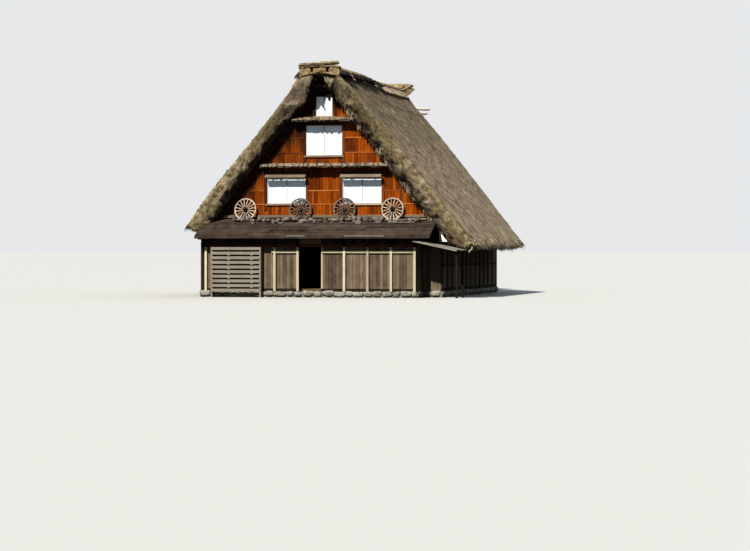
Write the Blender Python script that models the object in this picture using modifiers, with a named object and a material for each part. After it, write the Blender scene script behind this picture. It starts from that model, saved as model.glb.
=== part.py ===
"""Gassho-style thatched farmhouse, built from named sub-parts.

Metres, +Z up. The front gable faces -Y and +X is to its right. The origin lies on the
ground, under the ridge, half way between the two gable walls.
"""
import math

import bmesh
import bpy
from mathutils import Matrix, Vector

# Gap that touching pieces keep, and the distance within which points are welded
CLEAR = 0.0003
WELD = 0.0001

# Overall plan, measured to outer faces
HOUSE_LENGTH = 12.0
SIDE_HALF_WIDTH = 5.20
AISLE_DEPTH = 1.15
FRONT_HALF_WIDTH = 4.35
WALL_THICKNESS = 0.14
PANEL_WALL_THICKNESS = 0.12

# Stone base and ground floor
BASE_HEIGHT = 0.25
BASE_LEDGE_WIDTH = 0.05
FLOOR_THICKNESS = 0.12

# Roof: the outer slopes would meet at the virtual apex
PITCH = math.radians(51.7)
APEX_HEIGHT = 10.75
THATCH_THICKNESS = 0.72
SLOPE_HOLLOW_DEPTH = 0.09
SLOPE_POINTS = 4
EAVE_RIGHT_HEIGHT = 2.29
EAVE_LEFT_HEIGHT = 3.03
NOSE_WIDTH = 0.34
NOSE_DEPTH = 0.17
HEEL_WIDTH = 0.62
HEEL_DEPTH = 0.12
HEEL_HEIGHT = 0.12
SEAT_HEIGHT = 9.56
VERGE_LENGTH = 0.45
RAFTER_WIDTH = 0.20
COLLAR_HEIGHT = 9.08

# Settlement of the old ridge between the gables
RIDGE_SAG_DEPTH = 0.15
SAG_FOOT_HEIGHT = 3.50
SAG_BAYS = 8
SAG_LEAN = 2.2

# Ridge cap and the roll on top of it
CAP_HALF_WIDTH = 0.86
CAP_TOP_HALF_WIDTH = 0.82
CAP_HEIGHT = 0.36
CAP_FRONT_LENGTH = 0.85
CAP_BACK_LENGTH = 2.15
TAIL_RISE_HEIGHT = 0.10
NOTCH_OFFSET = 0.35
NOTCH_WIDTH = 0.07
NOTCH_LENGTH = 0.35
NOTCH_DEPTH = 0.20
ROLL_HALF_WIDTH = 0.88
ROLL_EDGE_HEIGHT = 0.11
ROLL_CROWN_HEIGHT = 0.19
ROLL_OVERHANG = 0.18
ROLL_POINTS = 6

# Storeys of the gable and their windows: a sill stands above its storey's floor, and a
# head hangs below the next floor
STOREY_1_HEIGHT = 5.66
STOREY_2_HEIGHT = 7.66
ATTIC_FLOOR_THICKNESS = 0.12
ATTIC_FLOOR_MARGIN = 0.14
LOWER_WINDOW_WIDTH = 1.74
LOWER_WINDOW_OFFSET = 0.82
LOWER_SILL_HEIGHT = 1.056
LOWER_HEAD_HEIGHT = 0.47
MIDDLE_WINDOW_WIDTH = 1.62
MIDDLE_SILL_HEIGHT = 0.49
MIDDLE_HEAD_HEIGHT = 0.19
UPPER_WINDOW_WIDTH = 0.74
UPPER_SILL_HEIGHT = 0.20
UPPER_HEAD_HEIGHT = 0.36
SHOJI_THICKNESS = 0.04
SHOJI_INSET_DEPTH = 0.03

# Boards over the lower windows
HOOD_ABOVE_HEAD = 0.27
HOOD_LENGTH = 0.30
HOOD_FALL_HEIGHT = 0.13
HOOD_THICKNESS = 0.05
HOOD_SIDE_LAP = 0.07
HOOD_SUNK_DEPTH = 0.06

# Small roofs between the storeys
PENT_LENGTH = 0.42
PENT_FALL_HEIGHT = 0.14
PENT_THICKNESS = 0.05
PENT_ABOVE_FLOOR = 0.14
LOWER_PENT_LAP = 0.063
UPPER_PENT_LAP = 0.20

# Long roof over the ground storey at each gable
SKIRT_TOP_HEIGHT = 3.40
SKIRT_LENGTH = 1.75
SKIRT_FALL_HEIGHT = 0.756
SKIRT_THICKNESS = 0.085
SKIRT_LEFT_WIDTH = 5.35
SKIRT_RIGHT_WIDTH = 5.05
SKIRT_GAP = 0.02

# Ground storey front
BAY_WIDTH = 1.03
LAST_POST_OFFSET = 4.28
BAYS = 9
SKIPPED_POST = 4
POST_WIDTH = 0.10
POST_PROUD_DEPTH = 0.05
POST_LEAST_WIDTH = 0.04
LINTEL_UNDERSIDE_HEIGHT = 2.17
LINTEL_DEPTH = 0.13
LINTEL_PROUD_DEPTH = 0.03
SILL_HEIGHT = 0.12

# Beams along the eaves
EAVE_BEAM_WIDTH = 0.22
EAVE_BEAM_DEPTH = 0.33
EAVE_BEAM_OVERHANG = 0.55

# Lean-to at the front right corner; its low edge hangs under the eave of the thatch
LEAN_GAP = 0.10
LEAN_FALL_HEIGHT = 0.44
LEAN_WIDTH = 2.00
LEAN_LENGTH = 1.60
LEAN_THICKNESS = 0.06
LEAN_POST_WIDTH = 0.10
LEAN_POST_OFFSET = 0.15
LEAN_BEAM_DEPTH = 0.12
LEAN_POST_SET = 0.01

# Board screen against the front wall
SCREEN_LEFT_OFFSET = -4.72
SCREEN_RIGHT_OFFSET = -2.46
SCREEN_HEIGHT = 2.20
SCREEN_POST_WIDTH = 0.08
SCREEN_POST_DEPTH = 0.22
SCREEN_BOARD_WIDTH = 0.13
SCREEN_BOARD_THICKNESS = 0.03
SCREEN_BOARD_SPACING = 0.20
SCREEN_BOARDS = 10

# Cart wheels leaning on the gable
WHEEL_OFFSETS = (-3.51, -1.03, 0.94, 3.08)
WHEEL_RADIUS = 0.50
RIM_DEPTH = 0.065
RIM_WIDTH = 0.08
HUB_RADIUS = 0.115
HUB_LENGTH = 0.22
SPOKES = 16
SPOKE_WIDTH = 0.034
SPOKE_ROOT_RADIUS = 0.10
SPOKE_BITE_DEPTH = 0.03
WHEEL_LEAN = math.radians(12)
RIM_STEPS = 32
HUB_STEPS = 16

HALF_LENGTH = HOUSE_LENGTH / 2
FRONT_Y = -HALF_LENGTH
AISLE_Y = HALF_LENGTH + AISLE_DEPTH
SLOPE = math.tan(PITCH)
SKIRT_SLOPE = SKIRT_FALL_HEIGHT / SKIRT_LENGTH
SKIRT_DEPTH = SKIRT_THICKNESS * math.hypot(1, SKIRT_SLOPE)
SAG_REACH = HALF_LENGTH - 2 * WALL_THICKNESS
LEAN_LOW_Z = EAVE_RIGHT_HEIGHT - NOSE_DEPTH - LEAN_GAP
LEAN_TOP_Z = LEAN_LOW_Z + LEAN_FALL_HEIGHT


def outer_half_width(z):
    """Half the roof's width over the thatch at height z."""
    return (APEX_HEIGHT - z) / SLOPE


def inner_half_width(z):
    """Half the width between the undersides of the thatch at height z."""
    return outer_half_width(z) - THATCH_THICKNESS / math.sin(PITCH)


def underside_z(x):
    """Height of the thatch's underside at distance x from the ridge plane."""
    return APEX_HEIGHT - (x + THATCH_THICKNESS / math.sin(PITCH)) * SLOPE


def gable_half_width(z):
    """Half the width between the gable rafters at height z."""
    return inner_half_width(z) - RAFTER_WIDTH / math.sin(PITCH)


def skirt_z(y):
    """Top of the skirt roof at distance y from mid length."""
    return SKIRT_TOP_HEIGHT - SKIRT_SLOPE * (abs(y) - HALF_LENGTH)


def skirt_under_z(y):
    """Underside of the skirt roof at distance y from mid length."""
    return skirt_z(y) - SKIRT_DEPTH


def skirt_reach(z):
    """Distance from mid length at which the skirt roof's underside has height z."""
    return HALF_LENGTH + (SKIRT_TOP_HEIGHT - SKIRT_DEPTH - z) / SKIRT_SLOPE


def settled(y, z):
    """How far the roof has sunk at a point: nothing at the gables, most behind mid length."""
    if abs(y) >= SAG_REACH:
        return 0.0
    place = (y + SAG_REACH) / (2 * SAG_REACH)
    along = math.sin(math.pi * place**SAG_LEAN) ** 2
    up = (z - SAG_FOOT_HEIGHT) / (SEAT_HEIGHT - SAG_FOOT_HEIGHT)
    return RIDGE_SAG_DEPTH * along * min(1.0, max(0.0, up))


SIDE_TOP = underside_z(SIDE_HALF_WIDTH) - CLEAR
CORNER_TOP = skirt_under_z(AISLE_Y) - CLEAR


def clear_scene():
    """Remove what the scene holds."""
    for obj in list(bpy.data.objects):
        bpy.data.objects.remove(obj, do_unlink=True)


def new_collection(name):
    """Make a collection in the scene."""
    group = bpy.data.collections.new(name)
    bpy.context.scene.collection.children.link(group)
    return group


def make_material(name, color, roughness):
    """Make a plain surface material."""
    material = bpy.data.materials.new(name)
    material.use_nodes = True
    shader = material.node_tree.nodes["Principled BSDF"]
    shader.inputs["Base Color"].default_value = (*color, 1.0)
    shader.inputs["Roughness"].default_value = roughness
    shader.inputs["Metallic"].default_value = 0.0
    return material


clear_scene()
PARTS = new_collection("minka_farmhouse")
CUTTERS = new_collection("cutters")

STONE = make_material("field_stone", (0.30, 0.29, 0.27), 0.9)
FLOOR_WOOD = make_material("floor_boards", (0.30, 0.20, 0.12), 0.7)
DARK_WOOD = make_material("dark_wood", (0.10, 0.07, 0.05), 0.8)
GABLE_WOOD = make_material("gable_boards", (0.45, 0.17, 0.04), 0.6)
PAPER = make_material("shoji_paper", (0.85, 0.86, 0.88), 0.8)
BARK = make_material("grey_bark", (0.36, 0.32, 0.27), 0.9)
SKIRT_WOOD = make_material("skirt_boards", (0.13, 0.10, 0.09), 0.7)
STRAW = make_material("old_thatch", (0.32, 0.27, 0.21), 1.0)
RIDGE_STRAW = make_material("ridge_thatch", (0.42, 0.32, 0.20), 1.0)
WHEEL_PALE = make_material("pale_wheel_wood", (0.50, 0.43, 0.35), 0.8)
WHEEL_DARK = make_material("dark_wheel_wood", (0.16, 0.13, 0.11), 0.8)
PALE_WOOD = make_material("pale_boards", (0.60, 0.55, 0.48), 0.8)


def place(name, data, material, group=PARTS):
    """Put a mesh or curve in the scene as one object."""
    obj = bpy.data.objects.new(name, data)
    group.objects.link(obj)
    data.materials.append(material)
    return obj


def as_cutter(obj):
    """Mark a guide that only cuts or joins."""
    obj.hide_render = True
    obj.display_type = "WIRE"
    return obj


def boxes(name, corners, material, group=PARTS):
    """Make one object of boxes, each from a low and a high corner."""
    shape = bmesh.new()
    for low, high in corners:
        low = Vector(low)
        high = Vector(high)
        made = bmesh.ops.create_cube(shape, size=1.0)["verts"]
        bmesh.ops.scale(shape, vec=high - low, verts=made)
        bmesh.ops.translate(shape, vec=(low + high) / 2, verts=made)
    mesh = bpy.data.meshes.new(name)
    shape.to_mesh(mesh)
    shape.free()
    return place(name, mesh, material, group)


def box(name, low, high, material):
    """Make a box from its low and high corners, with its origin at its centre."""
    low = Vector(low)
    high = Vector(high)
    half = (high - low) / 2
    obj = boxes(name, [(-half, half)], material)
    obj.location = (low + high) / 2
    return obj


TURN = {
    "X": (math.pi / 2, 0, math.pi / 2),
    "Y": (math.pi / 2, 0, 0),
    "Z": (0, 0, 0),
}


def plate(name, outlines, low, high, axis, material):
    """Fill flat outlines, the later ones as holes, and thicken them along an axis."""
    curve = bpy.data.curves.new(name, "CURVE")
    curve.dimensions = "2D"
    curve.fill_mode = "BOTH"
    curve.extrude = (high - low) / 2
    for outline in outlines:
        spline = curve.splines.new("POLY")
        spline.points.add(len(outline) - 1)
        for point, (a, b) in zip(spline.points, outline):
            point.co = (a, b, 0.0, 1.0)
        spline.use_cyclic_u = True
    obj = place(name, curve, material)
    obj.rotation_euler = TURN[axis]
    obj.location["XYZ".index(axis)] = (low + high) / 2
    return obj


def rectangle(a_low, a_high, b_low, b_high):
    """Corners of a flat rectangle."""
    return [(a_low, b_low), (a_high, b_low), (a_high, b_high), (a_low, b_high)]


def as_mesh(obj):
    """Replace an object by a welded mesh of its evaluated shape."""
    bpy.context.view_layer.update()
    graph = bpy.context.evaluated_depsgraph_get()
    mesh = bpy.data.meshes.new_from_object(obj.evaluated_get(graph))
    shape = bmesh.new()
    shape.from_mesh(mesh)
    bmesh.ops.remove_doubles(shape, verts=shape.verts, dist=WELD)
    shape.to_mesh(mesh)
    shape.free()
    name = obj.name
    matrix = obj.matrix_world.copy()
    bpy.data.objects.remove(obj, do_unlink=True)
    solid = bpy.data.objects.new(name, mesh)
    PARTS.objects.link(solid)
    solid.matrix_world = matrix
    return solid


def combine(obj, tool, operation):
    """Join a guide to an object, or cut it out."""
    as_cutter(tool)
    modifier = obj.modifiers.new(tool.name, "BOOLEAN")
    modifier.operation = operation
    modifier.object = tool
    return obj


def sweep(name, profile, stations, lower, material):
    """Extrude an XZ profile along Y through the stations and lower its points."""
    shape = bmesh.new()
    corners = [shape.verts.new((x, stations[0], z)) for x, z in profile]
    first = shape.faces.new(corners)
    face = first
    for start, end in zip(stations, stations[1:]):
        made = bmesh.ops.extrude_face_region(shape, geom=[face])["geom"]
        if face is not first:
            bmesh.ops.delete(shape, geom=[face], context="FACES_ONLY")
        verts = [item for item in made if isinstance(item, bmesh.types.BMVert)]
        face = next(item for item in made if isinstance(item, bmesh.types.BMFace))
        bmesh.ops.translate(shape, vec=(0, end - start, 0), verts=verts)
    for vert in shape.verts:
        vert.co.z -= lower(vert.co.y, vert.co.z)
    bmesh.ops.recalc_face_normals(shape, faces=shape.faces)
    mesh = bpy.data.meshes.new(name)
    shape.to_mesh(mesh)
    shape.free()
    return place(name, mesh, material)


def build_base():
    """Stone base and ground floor, both stepped at the front right corner."""
    def stepped(out):
        return [
            (-SIDE_HALF_WIDTH - out, -AISLE_Y - out),
            (FRONT_HALF_WIDTH + out, -AISLE_Y - out),
            (FRONT_HALF_WIDTH + out, FRONT_Y - out),
            (SIDE_HALF_WIDTH + out, FRONT_Y - out),
            (SIDE_HALF_WIDTH + out, AISLE_Y + out),
            (-SIDE_HALF_WIDTH - out, AISLE_Y + out),
        ]

    plate("stone_base", [stepped(BASE_LEDGE_WIDTH)], 0.0, BASE_HEIGHT, "Z", STONE)
    inner = WALL_THICKNESS + CLEAR
    top = BASE_HEIGHT + FLOOR_THICKNESS
    plate("ground_floor", [stepped(-inner)], BASE_HEIGHT + CLEAR, top, "Z", FLOOR_WOOD)


def post_xs():
    """Centres of the posts along the front, from the right."""
    return [LAST_POST_OFFSET - BAY_WIDTH * n for n in range(BAYS + 1) if n != SKIPPED_POST]


def panelled_wall(name, low_x, high_x, side, posts, top):
    """A wall across the house with posts, a lintel rail and a sill that stand proud."""
    outer = side * AISLE_Y
    inner = side * (AISLE_Y - PANEL_WALL_THICKNESS)
    foot = BASE_HEIGHT + CLEAR
    obj = box(
        name,
        (low_x, min(outer, inner), foot),
        (high_x, max(outer, inner), top),
        DARK_WOOD,
    )

    def proud(out, span_x, span_z):
        ys = sorted((outer + side * out, outer - side * PANEL_WALL_THICKNESS / 2))
        return (span_x[0], ys[0], span_z[0]), (span_x[1], ys[1], span_z[1])

    lintel = (LINTEL_UNDERSIDE_HEIGHT, LINTEL_UNDERSIDE_HEIGHT + LINTEL_DEPTH)
    rails = [
        proud(LINTEL_PROUD_DEPTH, (low_x, high_x), lintel),
        proud(LINTEL_PROUD_DEPTH, (low_x, high_x), (foot, foot + SILL_HEIGHT)),
    ]
    uprights = []
    for x in posts:
        left = max(low_x, x - POST_WIDTH / 2)
        right = min(high_x, x + POST_WIDTH / 2)
        if right - left > POST_LEAST_WIDTH:
            uprights.append(proud(POST_PROUD_DEPTH, (left, right), (foot, top)))
    combine(obj, boxes(name + "_rails", rails, DARK_WOOD, CUTTERS), "UNION")
    combine(obj, boxes(name + "_posts", uprights, DARK_WOOD, CUTTERS), "UNION")


def build_ground_walls():
    """Walls of the ground storey, with a doorway in the wide front bay."""
    foot = BASE_HEIGHT + CLEAR
    top = skirt_under_z(AISLE_Y + POST_PROUD_DEPTH) - CLEAR
    posts = post_xs()
    left_end = -SIDE_HALF_WIDTH + WALL_THICKNESS + CLEAR
    right_end = FRONT_HALF_WIDTH - WALL_THICKNESS - CLEAR
    door_left = LAST_POST_OFFSET - BAY_WIDTH * (SKIPPED_POST + 1) + POST_WIDTH / 2
    door_right = LAST_POST_OFFSET - BAY_WIDTH * SKIPPED_POST
    panelled_wall("front_wall_left", left_end, door_left, -1, posts, top)
    panelled_wall("front_wall_right", door_right, right_end, -1, posts, top)
    box(
        "front_lintel",
        (door_left + CLEAR, -AISLE_Y - LINTEL_PROUD_DEPTH, LINTEL_UNDERSIDE_HEIGHT),
        (door_right - CLEAR, -AISLE_Y + PANEL_WALL_THICKNESS, top),
        DARK_WOOD,
    )
    back_posts = [-x for x in posts] + [LAST_POST_OFFSET]
    back_posts = sorted(set(x for x in back_posts if abs(x) < SIDE_HALF_WIDTH - WALL_THICKNESS))
    panelled_wall("back_wall", left_end, -left_end, 1, back_posts, top)

    shoulder = skirt_reach(SIDE_TOP + CLEAR)
    back = [(AISLE_Y, foot), (AISLE_Y, CORNER_TOP), (shoulder, SIDE_TOP)]
    whole = [(-shoulder, SIDE_TOP), (-AISLE_Y, CORNER_TOP), (-AISLE_Y, foot)]
    short = [(FRONT_Y + WALL_THICKNESS + CLEAR, SIDE_TOP), (FRONT_Y + WALL_THICKNESS + CLEAR, foot)]
    plate("left_wall", [back + whole], -SIDE_HALF_WIDTH, -SIDE_HALF_WIDTH + WALL_THICKNESS, "X", DARK_WOOD)
    plate("right_wall", [back + short], SIDE_HALF_WIDTH - WALL_THICKNESS, SIDE_HALF_WIDTH, "X", DARK_WOOD)
    corner = [
        (FRONT_HALF_WIDTH - WALL_THICKNESS, -AISLE_Y),
        (FRONT_HALF_WIDTH, -AISLE_Y),
        (FRONT_HALF_WIDTH, FRONT_Y),
        (SIDE_HALF_WIDTH, FRONT_Y),
        (SIDE_HALF_WIDTH, FRONT_Y + WALL_THICKNESS),
        (FRONT_HALF_WIDTH - WALL_THICKNESS, FRONT_Y + WALL_THICKNESS),
    ]
    plate("corner_wall", [corner], foot, CORNER_TOP, "Z", DARK_WOOD)


def build_eave_beams():
    """A beam along the outside of each side wall, under the eaves."""
    top = underside_z(SIDE_HALF_WIDTH + CLEAR + EAVE_BEAM_WIDTH) - CLEAR
    end = HALF_LENGTH + EAVE_BEAM_OVERHANG
    for name, side in (("eave_beam_left", -1), ("eave_beam_right", 1)):
        xs = sorted((side * (SIDE_HALF_WIDTH + CLEAR), side * (SIDE_HALF_WIDTH + CLEAR + EAVE_BEAM_WIDTH)))
        low = (xs[0], -end, top - EAVE_BEAM_DEPTH)
        high = (xs[1], end, top)
        box(name, low, high, DARK_WOOD)


def build_attic_floors():
    """One boarded floor under each storey of the gable."""
    inside = HALF_LENGTH - WALL_THICKNESS - CLEAR
    floors = (
        ("attic_floor_lower", SIDE_TOP + CLEAR + ATTIC_FLOOR_THICKNESS, CLEAR),
        ("attic_floor_middle", STOREY_1_HEIGHT, ATTIC_FLOOR_MARGIN),
        ("attic_floor_upper", STOREY_2_HEIGHT, ATTIC_FLOOR_MARGIN),
    )
    for name, top, margin in floors:
        half = inner_half_width(top) - margin
        low = (-half, -inside, top - ATTIC_FLOOR_THICKNESS)
        high = (half, inside, top)
        box(name, low, high, FLOOR_WOOD)


def lower_windows():
    """The two windows of the lowest gable storey, as low and high X and low and high Z."""
    near = LOWER_WINDOW_OFFSET
    far = near + LOWER_WINDOW_WIDTH
    low = SIDE_TOP + LOWER_SILL_HEIGHT
    high = STOREY_1_HEIGHT - LOWER_HEAD_HEIGHT
    return [(-far, -near, low, high), (near, far, low, high)]


def middle_window():
    """The window of the middle storey, on the centre line."""
    half = MIDDLE_WINDOW_WIDTH / 2
    return (-half, half, STOREY_1_HEIGHT + MIDDLE_SILL_HEIGHT, STOREY_2_HEIGHT - MIDDLE_HEAD_HEIGHT)


def upper_window():
    """The window under the ridge, on the centre line."""
    half = UPPER_WINDOW_WIDTH / 2
    return (-half, half, STOREY_2_HEIGHT + UPPER_SILL_HEIGHT, COLLAR_HEIGHT - UPPER_HEAD_HEIGHT)


def gable_ys(side):
    """Low and high Y of a gable wall."""
    return sorted((side * HALF_LENGTH, side * (HALF_LENGTH - WALL_THICKNESS)))


def add_hoods(wall, side):
    """Fix a sloping board over each lower window."""
    face = side * HALF_LENGTH
    sunk = face - side * HOOD_SUNK_DEPTH
    front = face + side * HOOD_LENGTH
    rise = HOOD_FALL_HEIGHT * HOOD_SUNK_DEPTH / HOOD_LENGTH
    for index, (left, right, _, head) in enumerate(lower_windows()):
        top = head + HOOD_ABOVE_HEAD
        outline = [
            (sunk, top + rise),
            (front, top - HOOD_FALL_HEIGHT),
            (front, top - HOOD_FALL_HEIGHT - HOOD_THICKNESS),
            (sunk, top + rise - HOOD_THICKNESS),
        ]
        name = f"{wall.name}_hood_{index}"
        hood = plate(name, [outline], left - HOOD_SIDE_LAP, right + HOOD_SIDE_LAP, "X", BARK)
        hood = as_mesh(hood)
        PARTS.objects.unlink(hood)
        CUTTERS.objects.link(hood)
        combine(wall, hood, "UNION")


def build_gable(label, side, strip_left, strip_right):
    """Three boarded storeys of one gable, with its windows, rafters and small roofs."""
    low_y, high_y = gable_ys(side)

    def half(z):
        return gable_half_width(z) - CLEAR

    strip_z = CORNER_TOP + CLEAR
    lower = [
        (-strip_left, strip_z),
        (strip_right, strip_z),
        (strip_right, SIDE_TOP),
        (half(SIDE_TOP), SIDE_TOP),
        (half(STOREY_1_HEIGHT), STOREY_1_HEIGHT),
        (-half(STOREY_1_HEIGHT), STOREY_1_HEIGHT),
        (-half(SIDE_TOP), SIDE_TOP),
        (-strip_left, SIDE_TOP),
    ]
    holes = [rectangle(*window) for window in lower_windows()]
    name = f"gable_{label}_lower"
    wall = as_mesh(plate(name, [lower] + holes, low_y, high_y, "Y", GABLE_WOOD))
    add_hoods(wall, side)

    def trapezoid(low, high):
        return [(-half(low), low), (half(low), low), (half(high), high), (-half(high), high)]

    middle = trapezoid(STOREY_1_HEIGHT + CLEAR, STOREY_2_HEIGHT)
    hole = rectangle(*middle_window())
    plate(f"gable_{label}_middle", [middle, hole], low_y, high_y, "Y", GABLE_WOOD)
    upper = trapezoid(STOREY_2_HEIGHT + CLEAR, COLLAR_HEIGHT - CLEAR)
    hole = rectangle(*upper_window())
    plate(f"gable_{label}_upper", [upper, hole], low_y, high_y, "Y", GABLE_WOOD)
    build_rafters(label, low_y, high_y)
    build_shoji(label, side)
    build_pent_roofs(label, side)


def build_rafters(label, low_y, high_y):
    """The pair of rafters at a gable, joined by a collar under the ridge."""
    foot = SIDE_TOP + CLEAR
    outer_foot = inner_half_width(foot) - CLEAR
    inner_foot = gable_half_width(foot)
    peak = inner_half_width(SEAT_HEIGHT) - CLEAR
    collar = gable_half_width(COLLAR_HEIGHT)
    outline = [
        (-outer_foot, foot),
        (-inner_foot, foot),
        (-collar, COLLAR_HEIGHT),
        (collar, COLLAR_HEIGHT),
        (inner_foot, foot),
        (outer_foot, foot),
        (peak, SEAT_HEIGHT),
        (-peak, SEAT_HEIGHT),
    ]
    plate(f"rafters_{label}", [outline], low_y, high_y, "Y", DARK_WOOD)


def build_shoji(label, side):
    """Paper screens that close the windows of one gable."""
    outer = side * (HALF_LENGTH - SHOJI_INSET_DEPTH)
    ys = sorted((outer, outer - side * SHOJI_THICKNESS))
    left, right = lower_windows()
    screens = (
        ("lower_left", left),
        ("lower_right", right),
        ("middle", middle_window()),
        ("upper", upper_window()),
    )
    for place_name, (x_low, x_high, z_low, z_high) in screens:
        low = (x_low + CLEAR, ys[0], z_low + CLEAR)
        high = (x_high - CLEAR, ys[1], z_high - CLEAR)
        box(f"shoji_{label}_{place_name}", low, high, PAPER)


def build_pent_roofs(label, side):
    """Narrow roofs over the joints between the gable's storeys."""
    back = side * (HALF_LENGTH + CLEAR)
    front = side * (HALF_LENGTH + PENT_LENGTH)
    roofs = (
        ("lower", STOREY_1_HEIGHT + PENT_ABOVE_FLOOR, LOWER_PENT_LAP),
        ("upper", STOREY_2_HEIGHT + PENT_ABOVE_FLOOR, UPPER_PENT_LAP),
    )
    for place_name, top, lap in roofs:
        half = gable_half_width(top) + lap
        outline = [
            (back, top),
            (front, top - PENT_FALL_HEIGHT),
            (front, top - PENT_FALL_HEIGHT - PENT_THICKNESS),
            (back, top - PENT_THICKNESS),
        ]
        plate(f"pent_roof_{label}_{place_name}", [outline], -half, half, "X", BARK)


def build_skirt(label, side, left, right):
    """Long roof over the ground storey, trimmed where it runs in under the thatch."""
    shape = bmesh.new()
    back = HALF_LENGTH + CLEAR
    trim = HALF_LENGTH + VERGE_LENGTH + CLEAR
    front = HALF_LENGTH + SKIRT_LENGTH

    def trimmed(y):
        return inner_half_width(skirt_z(y)) - SKIRT_GAP

    plan = [
        (-left, front),
        (right, front),
        (right, trim),
        (min(right, trimmed(trim)), trim),
        (trimmed(back), back),
        (-trimmed(back), back),
        (-min(left, trimmed(trim)), trim),
        (-left, trim),
    ]
    corners = [shape.verts.new((x, side * y, skirt_z(y))) for x, y in plan]
    face = shape.faces.new(corners)
    made = bmesh.ops.extrude_face_region(shape, geom=[face])["geom"]
    verts = [item for item in made if isinstance(item, bmesh.types.BMVert)]
    bmesh.ops.translate(shape, vec=(0, 0, -SKIRT_DEPTH), verts=verts)
    bmesh.ops.remove_doubles(shape, verts=shape.verts, dist=WELD)
    bmesh.ops.recalc_face_normals(shape, faces=shape.faces)
    name = f"skirt_roof_{label}"
    mesh = bpy.data.meshes.new(name)
    shape.to_mesh(mesh)
    shape.free()
    place(name, mesh, SKIRT_WOOD)


def slope_profile(eave_z):
    """Cross-section of one thatched slope, on the +X side."""
    eave = Vector((outer_half_width(eave_z), eave_z))
    top = Vector((outer_half_width(SEAT_HEIGHT), SEAT_HEIGHT))
    inward = Vector((-math.sin(PITCH), -math.cos(PITCH)))
    outer = []
    for index in range(SLOPE_POINTS + 1):
        share = index / SLOPE_POINTS
        depth = SLOPE_HOLLOW_DEPTH * 4 * share * (1 - share)
        outer.append(eave.lerp(top, share) + inward * depth)
    heel_z = eave_z + HEEL_HEIGHT
    inner = [
        (inner_half_width(SEAT_HEIGHT), SEAT_HEIGHT),
        (inner_half_width(SAG_FOOT_HEIGHT), SAG_FOOT_HEIGHT),
        (inner_half_width(heel_z), heel_z),
        (eave.x - HEEL_WIDTH, eave_z - HEEL_DEPTH),
        (eave.x - NOSE_WIDTH, eave_z - NOSE_DEPTH),
    ]
    return [tuple(point) for point in outer] + inner


def sag_stations():
    """Places along the house where the sagging ridge bends."""
    return [SAG_REACH * (2 * n / SAG_BAYS - 1) for n in range(SAG_BAYS + 1)]


def build_thatch():
    """The two slopes of thatch; the left one stops higher than the right one."""
    verge = HALF_LENGTH + VERGE_LENGTH
    stations = [-verge] + sag_stations() + [verge]
    right = slope_profile(EAVE_RIGHT_HEIGHT)
    left = [(-x, z) for x, z in slope_profile(EAVE_LEFT_HEIGHT)]
    sweep("thatch_right", right, stations, settled, STRAW)
    sweep("thatch_left", left, stations, settled, STRAW)


def ridge_lower(y, z):
    """Sag of the ridge, and the rise of its tail past the back verge."""
    tail = max(0.0, y - HALF_LENGTH - VERGE_LENGTH) / (CAP_BACK_LENGTH - VERGE_LENGTH)
    return settled(y, max(z, SEAT_HEIGHT)) - TAIL_RISE_HEIGHT * min(1.0, tail) ** 2


def build_ridge():
    """Straw cap over the ridge, notched at its ends, and the roll on top."""
    low = SEAT_HEIGHT + CLEAR
    top = low + CAP_HEIGHT
    front = -HALF_LENGTH - CAP_FRONT_LENGTH
    back = HALF_LENGTH + CAP_BACK_LENGTH
    verge = HALF_LENGTH + VERGE_LENGTH
    tail = (verge + back) / 2
    inner = sag_stations() + [verge, tail]
    profile = [
        (-CAP_HALF_WIDTH, low),
        (CAP_HALF_WIDTH, low),
        (CAP_TOP_HALF_WIDTH, top),
        (-CAP_TOP_HALF_WIDTH, top),
    ]
    cap = sweep("ridge_cap", profile, [front] + inner + [back], ridge_lower, RIDGE_STRAW)
    cuts = []
    for end, side, lift in ((front, -1, 0.0), (back, 1, TAIL_RISE_HEIGHT)):
        ys = sorted((end + side * NOTCH_LENGTH, end - side * NOTCH_LENGTH))
        for x in (-NOTCH_OFFSET, NOTCH_OFFSET):
            low_corner = (x - NOTCH_WIDTH / 2, ys[0], top - NOTCH_DEPTH + lift)
            high_corner = (x + NOTCH_WIDTH / 2, ys[1], top + NOTCH_DEPTH + lift)
            cuts.append((low_corner, high_corner))
    combine(cap, boxes("ridge_notches", cuts, RIDGE_STRAW, CUTTERS), "DIFFERENCE")

    base = top + CLEAR
    crown = []
    for index in range(ROLL_POINTS + 1):
        share = 2 * index / ROLL_POINTS - 1
        high = ROLL_EDGE_HEIGHT + (ROLL_CROWN_HEIGHT - ROLL_EDGE_HEIGHT) * (1 - share * share)
        crown.append((-share * ROLL_HALF_WIDTH, base + high))
    profile = [(-ROLL_HALF_WIDTH, base), (ROLL_HALF_WIDTH, base)] + crown
    ends = [front - ROLL_OVERHANG, front], [back, back + ROLL_OVERHANG]
    sweep("ridge_roll", profile, ends[0] + inner + ends[1], ridge_lower, RIDGE_STRAW)


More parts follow.
